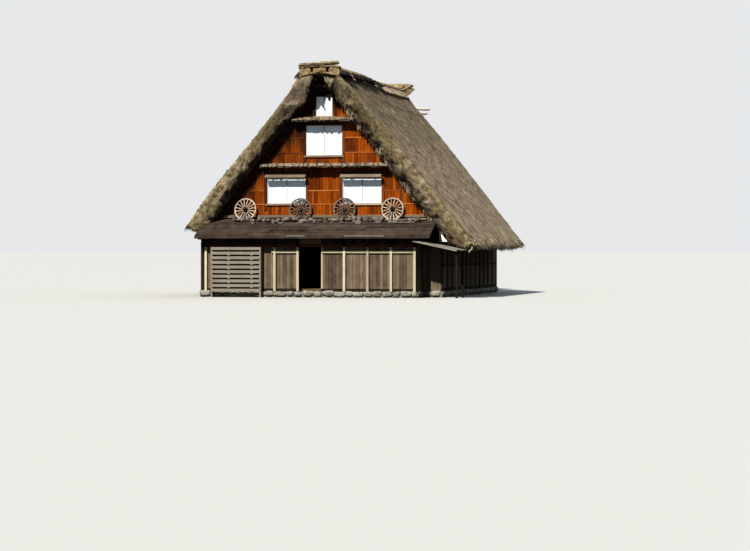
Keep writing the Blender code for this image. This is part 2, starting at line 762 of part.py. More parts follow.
def wheel_mesh():
    """A spoked cart wheel about its local Z axis."""
    profile = bmesh.new()
    half = RIM_WIDTH / 2
    loop = [
        (WHEEL_RADIUS, half),
        (WHEEL_RADIUS, -half),
        (WHEEL_RADIUS - RIM_DEPTH, -half),
        (WHEEL_RADIUS - RIM_DEPTH, half),
    ]
    corners = [profile.verts.new((x, 0, z)) for x, z in loop]
    for start, end in zip(corners, corners[1:] + corners[:1]):
        profile.edges.new((start, end))
    mesh = bpy.data.meshes.new("wheel_rim")
    profile.to_mesh(mesh)
    profile.free()
    rim = place("wheel_rim", mesh, WHEEL_PALE)
    turn = rim.modifiers.new("turn", "SCREW")
    turn.angle = 2 * math.pi
    turn.steps = RIM_STEPS
    turn.render_steps = RIM_STEPS
    turn.use_merge_vertices = True
    turn.merge_threshold = WELD

    reach = WHEEL_RADIUS - RIM_DEPTH + SPOKE_BITE_DEPTH
    size = Vector((reach - SPOKE_ROOT_RADIUS, SPOKE_WIDTH, SPOKE_WIDTH))
    spokes = bmesh.new()
    for index in range(SPOKES):
        made = bmesh.ops.create_cube(spokes, size=1.0)["verts"]
        bmesh.ops.scale(spokes, vec=size, verts=made)
        bmesh.ops.translate(spokes, vec=((reach + SPOKE_ROOT_RADIUS) / 2, 0, 0), verts=made)
        turned = Matrix.Rotation(2 * math.pi * (index + 0.5) / SPOKES, 3, "Z")
        bmesh.ops.rotate(spokes, cent=(0, 0, 0), matrix=turned, verts=made)
    mesh = bpy.data.meshes.new("wheel_spokes")
    spokes.to_mesh(mesh)
    spokes.free()
    combine(rim, place("wheel_spokes", mesh, WHEEL_PALE, CUTTERS), "UNION")

    hub = bmesh.new()
    bmesh.ops.create_cone(
        hub, cap_ends=True, segments=HUB_STEPS, radius1=HUB_RADIUS, radius2=HUB_RADIUS, depth=HUB_LENGTH
    )
    mesh = bpy.data.meshes.new("wheel_hub")
    hub.to_mesh(mesh)
    hub.free()
    combine(rim, place("wheel_hub", mesh, WHEEL_PALE, CUTTERS), "UNION")
    whole = as_mesh(rim)
    mesh = whole.data
    bpy.data.objects.remove(whole, do_unlink=True)
    mesh.name = "cart_wheel"
    return mesh


def build_wheels():
    """Four cart wheels that stand on the skirt roof and lean on the gable."""
    mesh = wheel_mesh()
    half = RIM_WIDTH / 2
    lean_y = WHEEL_RADIUS * math.sin(WHEEL_LEAN)
    y = FRONT_Y - CLEAR - lean_y - half * math.cos(WHEEL_LEAN)
    heel_y = y - lean_y + half * math.cos(WHEEL_LEAN)
    heel_drop = WHEEL_RADIUS * math.cos(WHEEL_LEAN) + half * math.sin(WHEEL_LEAN)
    z = skirt_z(heel_y) + heel_drop + 2 * CLEAR
    for index, x in enumerate(WHEEL_OFFSETS):
        pale = index in (0, len(WHEEL_OFFSETS) - 1)
        own = mesh.copy()
        own.materials.clear()
        wheel = place(f"cart_wheel_{index + 1}", own, WHEEL_PALE if pale else WHEEL_DARK)
        wheel.location = (x, y, z)
        wheel.rotation_euler = (math.pi / 2 - WHEEL_LEAN, 0, 0)


def build_lean_to():
    """Small roof on posts in the corner beside the front aisle."""
    left = FRONT_HALF_WIDTH + CLEAR
    right = FRONT_HALF_WIDTH + LEAN_WIDTH
    front = FRONT_Y - LEAN_LENGTH
    back = FRONT_Y - CLEAR
    outline = [
        (left, LEAN_TOP_Z),
        (left, LEAN_TOP_Z - LEAN_THICKNESS),
        (right, LEAN_LOW_Z - LEAN_THICKNESS),
        (right, LEAN_LOW_Z),
    ]
    roof = as_mesh(plate("lean_to_roof", [outline], front, back, "Y", BARK))
    post_x = right - LEAN_POST_OFFSET - LEAN_POST_WIDTH
    under = LEAN_TOP_Z - LEAN_THICKNESS - LEAN_FALL_HEIGHT * (post_x - left) / (right - left)
    beam_low = (post_x, front + LEAN_POST_WIDTH, under - LEAN_BEAM_DEPTH)
    beam_high = (post_x + LEAN_POST_WIDTH, back, under)
    beam = boxes("lean_to_beam", [(beam_low, beam_high)], DARK_WOOD, CUTTERS)
    posts = []
    width = LEAN_POST_WIDTH - 2 * LEAN_POST_SET
    for y in (front + LEAN_POST_WIDTH + LEAN_POST_SET, back - LEAN_POST_WIDTH - width):
        low = (post_x + LEAN_POST_SET, y, 0.0)
        high = (post_x + LEAN_POST_SET + width, y + width, under - LEAN_BEAM_DEPTH / 2)
        posts.append((low, high))
    combine(roof, beam, "UNION")
    combine(roof, boxes("lean_to_posts", posts, DARK_WOOD, CUTTERS), "UNION")


def build_screen():
    """Level boards on two posts, in front of the left part of the front wall."""
    back = -AISLE_Y - BASE_LEDGE_WIDTH - CLEAR
    front = back - SCREEN_POST_DEPTH
    posts = []
    for left in (SCREEN_LEFT_OFFSET, SCREEN_RIGHT_OFFSET - SCREEN_POST_WIDTH):
        posts.append(((left, front, 0.0), (left + SCREEN_POST_WIDTH, back, SCREEN_HEIGHT)))
    boards = []
    face = front - SCREEN_BOARD_THICKNESS / 2
    for index in range(SCREEN_BOARDS):
        top = SCREEN_HEIGHT - SCREEN_BOARD_THICKNESS - index * SCREEN_BOARD_SPACING
        low = (SCREEN_LEFT_OFFSET + SCREEN_BOARD_THICKNESS, face, top - SCREEN_BOARD_WIDTH)
        high = (SCREEN_RIGHT_OFFSET - SCREEN_BOARD_THICKNESS, face + SCREEN_BOARD_THICKNESS, top)
        boards.append((low, high))
    screen = boxes("board_screen", posts, PALE_WOOD)
    combine(screen, boxes("screen_boards", boards, PALE_WOOD, CUTTERS), "UNION")


def build_house():
    """Build every part of the farmhouse."""
    build_base()
    build_ground_walls()
    build_eave_beams()
    build_attic_floors()
    inner_side = SIDE_HALF_WIDTH - WALL_THICKNESS - CLEAR
    build_gable("front", -1, inner_side, SIDE_HALF_WIDTH - CLEAR)
    build_gable("back", 1, inner_side, inner_side)
    build_skirt("front", -1, SKIRT_LEFT_WIDTH, SKIRT_RIGHT_WIDTH)
    build_skirt("back", 1, SKIRT_RIGHT_WIDTH, SKIRT_RIGHT_WIDTH)
    build_thatch()
    build_ridge()
    build_wheels()
    build_lean_to()
    build_screen()


build_house()
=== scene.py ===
"""Looks of the thatched farmhouse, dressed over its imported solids.

Metres, +Z up. The front gable faces -Y and +X is to its right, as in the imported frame.
"""

import math
from itertools import product

import bpy
import numpy as np
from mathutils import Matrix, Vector


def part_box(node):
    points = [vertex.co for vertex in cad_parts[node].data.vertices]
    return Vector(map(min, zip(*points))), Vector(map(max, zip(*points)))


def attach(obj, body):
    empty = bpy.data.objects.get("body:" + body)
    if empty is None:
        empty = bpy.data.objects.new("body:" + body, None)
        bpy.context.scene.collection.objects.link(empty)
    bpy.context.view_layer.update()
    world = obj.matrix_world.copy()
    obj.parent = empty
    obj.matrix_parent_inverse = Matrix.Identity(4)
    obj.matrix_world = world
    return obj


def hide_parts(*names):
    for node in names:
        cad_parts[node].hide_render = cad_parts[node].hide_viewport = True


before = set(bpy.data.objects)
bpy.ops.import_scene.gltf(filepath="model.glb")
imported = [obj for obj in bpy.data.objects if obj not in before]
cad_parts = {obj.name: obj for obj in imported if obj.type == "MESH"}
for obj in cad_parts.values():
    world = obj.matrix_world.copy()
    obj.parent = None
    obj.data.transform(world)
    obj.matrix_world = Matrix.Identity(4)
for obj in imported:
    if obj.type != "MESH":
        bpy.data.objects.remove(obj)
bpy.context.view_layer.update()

# Sizes that the solids have too
PITCH = math.radians(51.7)
APEX_Z = 10.75
SEAT_Z = 9.56
THATCH_DEEP = 0.72
VERGE_Y = 6.45
GABLE_Y = 6.0
GABLE_WALL = 0.14
SIDE_X = 5.20
AISLE_Y = 7.15
CORNER_X = 4.35
SIDE_TOP_Z = 3.0037
LOW_STOREY_TOP = 5.66

# The side and the eave's height of each slope
SLOPES = {"right": (1, 2.29), "left": (-1, 3.03)}

# How the worn straw departs from those solids: foot of the sag, lean of the straw along
# the roof for each metre down, and the swell of the slopes and of the left foot
SAG_FOOT_Z = 7.00
STRAW_SLANT = 0.45
BELLY = 0.03
LEFT_SWELL = 0.11

SIN = math.sin(PITCH)
COS = math.cos(PITCH)
UNDER_RUN = THATCH_DEEP / SIN
RAFTER_RUN = 0.20 / SIN

# Random numbers that the noise reads
NOISE_SIZE = 4096
NOISE_TABLE = np.random.default_rng(11).uniform(-1.0, 1.0, NOISE_SIZE)


def half_out(z):
    """Half the roof's width at height z: the height left to the apex over the slope."""
    return (APEX_Z - z) * COS / SIN


def half_gable(z):
    """Half the width between the gable rafters at height z."""
    return half_out(z) - UNDER_RUN - RAFTER_RUN


def gable_top(x):
    """Height of the rafters' inner edge over x, the inverse of half_gable."""
    return APEX_Z - (np.abs(x) + UNDER_RUN + RAFTER_RUN) * SIN / COS


def smooth(x):
    """Ease from 0 to 1 with 3x^2 - 2x^3, held at both ends."""
    x = np.clip(x, 0.0, 1.0)
    return x * x * (3 - 2 * x)


def noise(points, scale, seed=0):
    """Smooth random value from -1 to 1 at each point.

    Each corner of a lattice with `scale` cells a metre holds a random number, and the
    eight corners round a point are blended with the eased distance along each axis."""
    p = np.asarray(points, float) * np.asarray(scale, float) + 31.7 * seed + 100.0
    cell = np.floor(p).astype(np.int64)
    ease = smooth(p - cell)
    total = np.zeros(p.shape[:-1])
    for number in range(8):
        step = np.array([number & 1, number >> 1 & 1, number >> 2 & 1])
        c = cell + step
        key = (c[..., 0] * 73856093) ^ (c[..., 1] * 19349663) ^ (c[..., 2] * 83492791)
        share = np.where(step > 0, ease, 1 - ease).prod(axis=-1)
        total += NOISE_TABLE[key % NOISE_SIZE] * share
    return total


def ridge_drop(y):
    """How far the old ridge hangs at y, in two eased steps: it settles behind mid length
    and its tail rises past the back verge."""
    return 0.14 * smooth((y + 2.0) / 4.5) - 0.25 * smooth((y - 6.0) / 2.3)


def settled(y, z):
    """Drop of the roof under the ridge, which fades out down the slopes."""
    inside = np.minimum(y, VERGE_Y)
    return ridge_drop(inside) * np.clip((z - SAG_FOOT_Z) / (SEAT_Z - SAG_FOOT_Z), 0.0, 1.0)


# Meshes from arrays


def piece(name, points, faces, material, slot, tone=None, extra=None, crease=None):
    """Put points and faces, given as arrays of 3 or 4 corners a row, into one object.

    `tone` and the arrays of `extra` become numbers on the points. With `crease`, in
    degrees, edges sharper than that stay hard; without it the piece is smooth."""
    points = np.asarray(points, float).reshape(-1, 3)
    groups = faces if isinstance(faces, list) else [faces]
    groups = [np.asarray(group) for group in groups if len(group)]
    corners = np.concatenate([group.ravel() for group in groups]).astype(np.int32)
    sizes = np.concatenate([np.full(len(group), group.shape[1]) for group in groups])
    starts = np.concatenate([[0], np.cumsum(sizes)[:-1]]).astype(np.int32)
    mesh = bpy.data.meshes.new(name)
    mesh.vertices.add(len(points))
    mesh.vertices.foreach_set("co", points.astype(np.float32).ravel())
    mesh.loops.add(len(corners))
    mesh.loops.foreach_set("vertex_index", corners)
    mesh.polygons.add(len(sizes))
    mesh.polygons.foreach_set("loop_start", starts)
    mesh.update(calc_edges=True)
    mesh.shade_smooth()
    if crease is not None:
        mesh.set_sharp_from_angle(angle=math.radians(crease))
    marks = dict(extra or {})
    marks["tone"] = np.zeros(len(points)) if tone is None else tone
    for label, values in marks.items():
        layer = mesh.attributes.new(label, "FLOAT", "POINT")
        layer.data.foreach_set("value", np.asarray(values, np.float32).ravel())
    mesh.materials.append(material)
    obj = bpy.data.objects.new(name, mesh)
    bpy.context.scene.collection.objects.link(obj)
    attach(obj, "root")
    return obj


def block_shell(na, nb, nc):
    """Skin of a block of na by nb by nc cells: corner shares along a, b and c, and faces.

    Each side is a grid of two counters with the third at its low or high end. A corner
    that several sides share has one number, so the skin is closed."""
    counts = (na, nb, nc)
    quads = []
    for axis in range(3):
        first, second = [m for m in range(3) if m != axis]
        u, v = np.meshgrid(np.arange(counts[first]), np.arange(counts[second]), indexing="ij")
        for end in (0, counts[axis]):
            ring = []
            for du, dv in ((0, 0), (1, 0), (1, 1), (0, 1)):
                index = [u + du, v + dv]
                index.insert(axis, np.full_like(u, end))
                ring.append((index[0] * (nb + 1) + index[1]) * (nc + 1) + index[2])
            quad = np.stack(ring, -1).reshape(-1, 4)
            quads.append(quad[:, ::-1] if (end == 0) != (axis == 1) else quad)
    ids, faces = np.unique(np.concatenate(quads), return_inverse=True)
    c = ids % (nc + 1)
    b = ids // (nc + 1) % (nb + 1)
    a = ids // ((nc + 1) * (nb + 1))
    return a / na, b / nb, c / nc, faces.reshape(-1, 4)


def rounded(a, b, c, size, radius):
    """Corners of a block in metres, with elliptical edges.

    A point is held to a smaller inner block, and what it stands out by is scaled from
    the square to the ellipse with the three radii."""
    size = np.asarray(size, float)
    radius = np.asarray(radius, float)
    p = np.stack([a, b, c], -1) * size
    inner = np.clip(p, radius, size - radius)
    out = (p - inner) / radius
    most = np.abs(out).max(-1, keepdims=True)
    length = np.maximum(np.linalg.norm(out, axis=-1, keepdims=True), 1e-9)
    return inner + out * most / length * radius


def normals_of(points, faces):
    """Unit normal at each point: the sum of the crossed diagonals of its faces."""
    a, b, c, d = (points[faces[:, corner]] for corner in (0, 1, 2, -1))
    crossed = np.cross(c - a, d - b)
    total = np.zeros_like(points)
    for axis in range(3):
        shares = np.repeat(crossed[:, axis], faces.shape[1])
        total[:, axis] = np.bincount(faces.ravel(), shares, minlength=len(points))
    return total / np.maximum(np.linalg.norm(total, axis=1, keepdims=True), 1e-12)


def placed(axis, s, t, r):
    """Signs of a corner: s along the axis, t and r along the other two."""
    sign = [t, r]
    sign.insert(axis, s)
    return tuple(sign)


def box_faces():
    """Faces of one chamfered box on its 24 kept corners: 6 sides, 12 strips and 8 tips."""
    points = [(axis, sign) for axis in range(3) for sign in product((-1, 1), repeat=3)]
    corner = {point: number for number, point in enumerate(points)}
    sides = []
    circuit = ((-1, -1), (1, -1), (1, 1), (-1, 1))
    for axis, s in product(range(3), (-1, 1)):
        ring = [corner[axis, placed(axis, s, t, r)] for t, r in circuit]
        sides.append(ring[::-1] if (s == -1) != (axis == 1) else ring)
    for axis, t, r in product(range(3), (-1, 1), (-1, 1)):
        b, c = [m for m in range(3) if m != axis]
        low, high = placed(axis, -1, t, r), placed(axis, 1, t, r)
        ring = [corner[b, low], corner[b, high], corner[c, high], corner[c, low]]
        sides.append(ring if (t * r == -1) != (axis == 1) else ring[::-1])
    tips = []
    for sign in product((-1, 1), repeat=3):
        ring = [corner[axis, sign] for axis in range(3)]
        tips.append(ring if sign[0] * sign[1] * sign[2] == 1 else ring[::-1])
    return points, np.array(sides), np.array(tips)


BOX_CORNERS, BOX_SIDES, BOX_TIPS = box_faces()
BOX_POINTS = len(BOX_CORNERS)

# Corners of one wisp of straw
WISP_POINTS = 4


def boxes(centre, half, turn=None, chamfer=0.004):
    """Chamfered boxes from arrays of centres, half sizes and turns: points and faces.

    A corner of a side stands at the half sizes, less one chamfer along the other two
    axes. `turn` holds a 3 by 3 matrix for each box."""
    centre = np.atleast_2d(np.asarray(centre, float))
    half = np.broadcast_to(np.asarray(half, float), centre.shape)
    sign = np.array([corner[1] for corner in BOX_CORNERS], float)
    inset = np.ones((BOX_POINTS, 3))
    inset[np.arange(BOX_POINTS), [corner[0] for corner in BOX_CORNERS]] = 0.0
    cut = np.minimum(chamfer, half.min(1) * 0.45)
    local = sign[None] * (half[:, None, :] - cut[:, None, None] * inset[None])
    if turn is not None:
        turn = np.broadcast_to(turn, (len(centre), 3, 3))
        local = np.einsum("nij,nkj->nki", turn, local)
    points = centre[:, None, :] + local
    first = (np.arange(len(centre)) * BOX_POINTS)[:, None, None]
    sides = (BOX_SIDES[None] + first).reshape(-1, 4)
    tips = (BOX_TIPS[None] + first).reshape(-1, 3)
    return points, sides, tips


def box_piece(name, parts, material, slot, chamfer=0.004, shape=None, marks=None):
    """One object of many chamfered boxes: rows of low and high corners, or ready parts.

    `parts` is an array of rows (x0, y0, z0, x1, y1, z1) or a tuple (centre, half, turn).
    `shape` may bend the finished points. Every box gets its own tone, and `marks` makes
    further numbers from the points."""
    if isinstance(parts, tuple):
        centre, half, turn = parts
    else:
        rows = np.asarray(parts, float).reshape(-1, 6)
        low = np.minimum(rows[:, :3], rows[:, 3:])
        high = np.maximum(rows[:, :3], rows[:, 3:])
        centre, half, turn = (low + high) / 2, (high - low) / 2, None
    points, sides, tips = boxes(centre, half, turn, chamfer)
    if shape is not None:
        points = shape(points)
    seed = sum(ord(letter) for letter in name)
    tone = np.repeat(np.random.default_rng(seed).uniform(0, 1, len(centre)), BOX_POINTS)
    extra = marks(points.reshape(-1, 3)) if marks else None
    return piece(name, points, [sides, tips], material, slot, tone, extra, crease=30)


def turns(x_axis, y_axis):
    """3 by 3 matrices whose columns are an x axis, a y axis and their cross product."""
    x_axis = x_axis / np.linalg.norm(x_axis, axis=-1, keepdims=True)
    z_axis = np.cross(x_axis, y_axis)
    z_axis /= np.linalg.norm(z_axis, axis=-1, keepdims=True)
    y_axis = np.cross(z_axis, x_axis)
    return np.stack([x_axis, y_axis, z_axis], -1)


def wisps(rng, root, along, up, length, width, lift, height):
    """Wisps of straw: four-sided points that lie on a surface, root first.

    The foot is a triangle across the straw with its top `height` off the surface, and
    the tip lies `length` further along and `lift` off the surface. Each size is drawn
    evenly between a low and a high end; the length may also be a ready array."""
    count = len(root)
    if isinstance(length, tuple):
        length = rng.uniform(*length, count)
    width, lift, height = (rng.uniform(*ends, count)[:, None] for ends in (width, lift, height))
    along = along / np.linalg.norm(along, axis=-1, keepdims=True)
    up = np.broadcast_to(up, (count, 3))
    side = np.cross(along, up)
    side /= np.maximum(np.linalg.norm(side, axis=-1, keepdims=True), 1e-9)
    sunk = up * (0.4 * height)
    left, right = root - side * width / 2 - sunk, root + side * width / 2 - sunk
    tip = root + along * length[:, None] + up * lift
    points = np.stack([left, right, root + up * height, tip], 1)
    pattern = np.array([[0, 2, 3], [2, 1, 3], [1, 0, 3], [0, 1, 2]])
    faces = (pattern[None] + (np.arange(count) * WISP_POINTS)[:, None, None]).reshape(-1, 3)
    return points, faces


def wisp_piece(name, made, material, slot, tone, marks=None, crease=None):
    """One object of wisps, whose tone and marks are one number for each, or for all."""
    marks = dict(marks or {})
    for label, value in marks.items():
        marks[label] = np.repeat(np.broadcast_to(value, len(tone)), WISP_POINTS)
    piece(name, *made, material, slot, np.repeat(tone, WISP_POINTS), marks, crease)


def join(parts):
    """Points and faces of several parts as one, with the face numbers carried on.

    Each part is its points and one or more arrays of faces. Faces with the same count
    of corners end up in one array."""
    firsts = np.cumsum([0] + [part[0].size // 3 for part in parts])
    points = np.concatenate([part[0].reshape(-1, 3) for part in parts])
    groups = []
    for corners in (4, 3, 8):
        same = [g + first for part, first in zip(parts, firsts) for g in part[1:] if g.shape[1] == corners]
        if same:
            groups.append(np.concatenate(same))
    return points, groups


def tube_faces(rings, around):
    """Faces of a closed tube: quads from ring to ring, and fans to its two end points.

    Corner j of ring i has the number i * around + j, and the end points come last."""
    i, j = np.meshgrid(np.arange(rings - 1), np.arange(around), indexing="ij")
    k = (j + 1) % around
    quads = np.stack([i * around + j, i * around + k, (i + 1) * around + k, (i + 1) * around + j], -1)
    n = np.arange(around)
    m = (n + 1) % around
    last = (rings - 1) * around
    end = np.full(around, rings * around)
    fans = np.concatenate([np.stack([m, n, end], -1), np.stack([last + n, last + m, end + 1], -1)])
    return quads.reshape(-1, 4), fans


def turned(radius, height, ends, around):
    """A shape turned on a lathe: rings of a profile, closed by the points on the axis at
    the two end heights."""
    a = np.linspace(0, 2 * np.pi, around, endpoint=False)
    flat = np.outer(height, np.ones(around))
    rings = np.stack([np.outer(radius, np.cos(a)), np.outer(radius, np.sin(a)), flat], -1)
    points = np.concatenate([rings.reshape(-1, 3), [[0, 0, end] for end in ends]])
    return points, *tube_faces(len(radius), around)


def pole(line, radius, across, third):
    """A round pole: a circle carried along a line of points, closed at both ends.

    `across` and `third` are the directions in which the circle lies, for the whole line
    or for each of its points."""
    sides = 10
    angle = np.linspace(0, 2 * np.pi, sides, endpoint=False)[None, :, None]
    across, third = (np.reshape(v, (-1, 1, 3)) for v in (across, third))
    ring = np.cos(angle) * across + np.sin(angle) * third
    points = (line[:, None, :] + ring * np.reshape(radius, (-1, 1, 1))).reshape(-1, 3)
    return np.concatenate([points, line[[0, -1]]]), list(tube_faces(len(line), sides))


# Shaders


def add(tree, kind, inputs=None, **settings):
    """Add a shader node, set it, and fill its inputs with numbers or links."""
    made = tree.nodes.new("ShaderNode" + kind)
    for key, value in settings.items():
        setattr(made, key, value)
    for key, value in (inputs or {}).items():
        if isinstance(value, bpy.types.NodeSocket):
            tree.links.new(value, made.inputs[key])
        else:
            made.inputs[key].default_value = value
    return made


def mixed(tree, share, first, second):
    """Colour between two colours."""
    first, second = ((*v, 1.0) if isinstance(v, tuple) else v for v in (first, second))
    return add(tree, "Mix", {0: share, 6: first, 7: second}, data_type="RGBA").outputs[2]


def span(tree, value, low, high, new_low=0.0, new_high=1.0):
    """Move a value from one range to another and hold it there."""
    settings = {"Value": value, "From Min": low, "From Max": high}
    settings.update({"To Min": new_low, "To Max": new_high})
    return add(tree, "MapRange", settings).outputs[0]


def maths(tree, operation, first, second=0.0):
    """One step of arithmetic on two values."""
    return add(tree, "Math", {0: first, 1: second}, operation=operation).outputs[0]


def times(tree, first, second):
    """Product of two values."""
    return maths(tree, "MULTIPLY", first, second)


def stretched(tree, place, scale):
    """A place with each axis times its own number, so that a pattern on it is drawn out."""
    return add(tree, "VectorMath", {0: place, 1: scale}, operation="MULTIPLY").outputs[0]


def cloudy(tree, place, scale, detail=2.0, roughness=0.5):
    """Cloudy noise at a place, from 0 to 1."""
    inputs = {"Vector": place, "Scale": scale, "Detail": detail, "Roughness": roughness}
    return add(tree, "TexNoise", inputs).outputs[0]


def on_object(tree):
    """Place on the object in metres."""
    return add(tree, "TexCoord").outputs["Object"]


def number_of(tree, label):
    """The number that a piece's points carry under a label."""
    return add(tree, "Attribute", attribute_name=label).outputs["Fac"]


def new_group(name, inputs, outputs):
    """An empty node group with named sockets."""
    group = bpy.data.node_groups.new(name, "ShaderNodeTree")
    for label, kind, value in inputs:
        socket = group.interface.new_socket(label, in_out="INPUT", socket_type="NodeSocket" + kind)
        socket.default_value = value
    for label in outputs:
        group.interface.new_socket(label, in_out="OUTPUT", socket_type="NodeSocketFloat")
    return group, group.nodes.new("NodeGroupInput"), group.nodes.new("NodeGroupOutput")


def make_grain_group():
    """Wood grain: long streaks along the axis with the fewest cells, blotches and height.

    The tone of a board moves the pattern, so that no two boards show the same grain."""
    group, start, end = new_group(
        "board_grain",
        [("Stretch", "Vector", (40.0, 40.0, 2.0)), ("Tone", "Float", 0.0)],
        ["Streaks", "Blotches", "Height"],
    )
    tone = start.outputs["Tone"]
    shift = add(group, "CombineXYZ", {0: tone, 1: tone}).outputs[0]
    moved = add(group, "VectorMath", {0: shift, "Scale": 37.0}, operation="SCALE").outputs[0]
    place = add(group, "VectorMath", {0: on_object(group), 1: moved}, operation="ADD").outputs[0]
    drawn = stretched(group, place, start.outputs["Stretch"])
    streaks = cloudy(group, drawn, 1.0, 6.0, 0.62)
    fine = cloudy(group, drawn, 3.1, 3.0)
    blotches = cloudy(group, place, 1.7, 4.0, 0.6)
    height = maths(group, "MULTIPLY_ADD", fine, 0.5)
    group.links.new(streaks, height.node.inputs[2])
    for label, value in (("Streaks", streaks), ("Blotches", blotches), ("Height", height)):
        group.links.new(span(group, value, 0.25, 0.75), end.inputs[label])
    return group


def make_straw_group():
    """Straw on a slope: streaks down the slope, clumps across it, pits and height.

    The point is turned into metres across the roof, down the slope and into it. Both
    slopes share it through the size of x, and the straw wanders and leans a little."""
    group, start, end = new_group(
        "straw_fibres",
        [("Fine", "Float", 60.0), ("Long", "Float", 5.0)],
        ["Streaks", "Clumps", "Pits", "Height"],
    )
    place = on_object(group)
    x, y, z = add(group, "SeparateXYZ", {0: place}).outputs
    side = maths(group, "ABSOLUTE", x)
    down = times(group, side, COS)
    down = maths(group, "SUBTRACT", down, times(group, z, SIN))
    deep = times(group, side, SIN)
    deep = maths(group, "ADD", deep, times(group, z, COS))
    across = maths(group, "ADD", y, times(group, cloudy(group, place, 0.9), 0.15))
    across = maths(group, "SUBTRACT", across, times(group, down, STRAW_SLANT))
    plain = add(group, "CombineXYZ", {0: across, 1: down, 2: deep}).outputs[0]
    fine, long = start.outputs["Fine"], start.outputs["Long"]
    cells = add(group, "CombineXYZ", {0: fine, 1: long, 2: fine}).outputs[0]
    thin = cloudy(group, stretched(group, plain, cells), 1.0, 5.0, 0.65)
    broad = cloudy(group, stretched(group, plain, BROAD_CELLS), 1.0, 4.0, 0.7)
    streaks = maths(group, "MULTIPLY_ADD", broad, 0.65)
    group.links.new(times(group, thin, 0.35), streaks.node.inputs[2])
    clumps = cloudy(group, plain, 0.9, 6.0, 0.62)
    pits = cloudy(group, stretched(group, plain, PIT_CELLS), 1.0, 3.0, 0.7)
    height = maths(group, "MULTIPLY_ADD", pits, 1.4)
    group.links.new(streaks, height.node.inputs[2])
    for label, value, low, high in (
        ("Streaks", streaks, 0.40, 0.60),
        ("Clumps", clumps, 0.3, 0.7),
        ("Pits", pits, 0.33, 0.41),
    ):
        group.links.new(span(group, value, low, high), end.inputs[label])
    group.links.new(height, end.inputs["Height"])
    return group


def make_dust_group():
    """Dust and splash near the ground, and grey weathering that gathers in patches."""
    group, start, end = new_group(
        "weather",
        [("Foot", "Float", 0.6), ("Patch", "Float", 2.5)],
        ["Splash", "Patches"],
    )
    place = on_object(group)
    z = add(group, "SeparateXYZ", {0: place}).outputs[2]
    rise = maths(group, "ADD", z, span(group, cloudy(group, place, 3.0, 5.0), 0.3, 0.7, -0.2, 0.2))
    splash = maths(group, "DIVIDE", rise, start.outputs["Foot"])
    group.links.new(span(group, splash, 0.0, 1.0, 1.0, 0.0), end.inputs["Splash"])
    patches = cloudy(group, place, start.outputs["Patch"], 6.0, 0.65)
    group.links.new(span(group, patches, 0.4, 0.65), end.inputs["Patches"])
    return group


# Cells a metre of the straw's broad streaks and of its pits: across, down and into it
BROAD_CELLS = (3.4, 2.2, 3.4)
PIT_CELLS = (4.2, 2.2, 4.2)

# Colours that wear, earth and moss leave, and dark colours for painted shade, grease and dark straw
WEATHERED_WOOD = (0.30, 0.27, 0.23)
EARTH_ON_WOOD = (0.24, 0.20, 0.15)
EARTH_ON_STONE = (0.20, 0.17, 0.12)
SHADE_AND_GREASE_ON_WOOD = (0.012, 0.007, 0.005)
SHADE_AND_DARK_STRAW = (0.016, 0.012, 0.009)
MOSS_SHADES = ((0.115, 0.096, 0.050), (0.285, 0.245, 0.140))

GRAIN = make_grain_group()
STRAW = make_straw_group()
WEATHER = make_dust_group()


def new_material(name, roughness, specular=0.12):
    """A material with its node tree and its Principled shader."""
    material = bpy.data.materials.new(name)
    material.use_nodes = True
    shader = material.node_tree.nodes["Principled BSDF"]
    shader.inputs["Roughness"].default_value = roughness
    shader.inputs["Specular IOR Level"].default_value = specular
    return material, material.node_tree, shader


def use_group(tree, group, **values):
    """Place a shared node group and fill its inputs."""
    made = tree.nodes.new("ShaderNodeGroup")
    made.node_tree = group
    for label, value in values.items():
        if isinstance(value, bpy.types.NodeSocket):
            tree.links.new(value, made.inputs[label])
        else:
            made.inputs[label].default_value = value
    return made.outputs


def bump(tree, shader, height, distance):
    """Let a height stand on the surface through the shader's normal."""
    node = add(tree, "Bump", {"Strength": 1.0, "Distance": distance, "Height": height})
    tree.links.new(node.outputs[0], shader.inputs["Normal"])


def wood(name, colours, stretch, roughness=0.7, depth=0.002, grey=0.0, foot=0.0, shade_and_grease_marks=False):
    """Boards: dark, middle and light colours by grain and by each board's tone.

    `grey` is the share of weathered patches, and `foot` the height that splashed earth
    reaches. A wood marked for it darkens where its points' number for that says so: painted shade on the
    gable's boards, rails and posts, and grease on the wheel hubs."""
    material, tree, shader = new_material(name, roughness)
    tone = number_of(tree, "tone")
    grain = use_group(tree, GRAIN, Stretch=stretch, Tone=tone)
    dark, middle, light = colours
    base = mixed(tree, span(tree, tone, 0.0, 0.7, 0.15, 1.0), dark, middle)
    shade = times(tree, grain["Streaks"], span(tree, grain["Blotches"], 0, 1, 0.2, 1))
    bright = times(tree, shade, span(tree, tone, 0.2, 1.0, 0.35, 1.0))
    colour = mixed(tree, bright, base, light)
    streak = span(tree, grain["Streaks"], 0.0, 0.35, 1.0, 0.0)
    colour = mixed(tree, times(tree, streak, 0.55), colour, dark)
    if grey or foot:
        weather = use_group(tree, WEATHER, Foot=max(foot, 0.01), Patch=2.2)
    if grey:
        colour = mixed(tree, times(tree, weather["Patches"], grey), colour, WEATHERED_WOOD)
    if foot:
        colour = mixed(tree, times(tree, weather["Splash"], 0.6), colour, EARTH_ON_WOOD)
    # Darker where the points' number says so: painted shade on the gable, grease on the wheel hubs
    if shade_and_grease_marks:
        colour = mixed(tree, number_of(tree, "soot"), colour, SHADE_AND_GREASE_ON_WOOD)
    tree.links.new(colour, shader.inputs["Base Color"])
    rough = span(tree, grain["Blotches"], 0.0, 1.0, roughness - 0.08, min(1.0, roughness + 0.12))
    tree.links.new(rough, shader.inputs["Roughness"])
    bump(tree, shader, grain["Height"], depth)
    return material


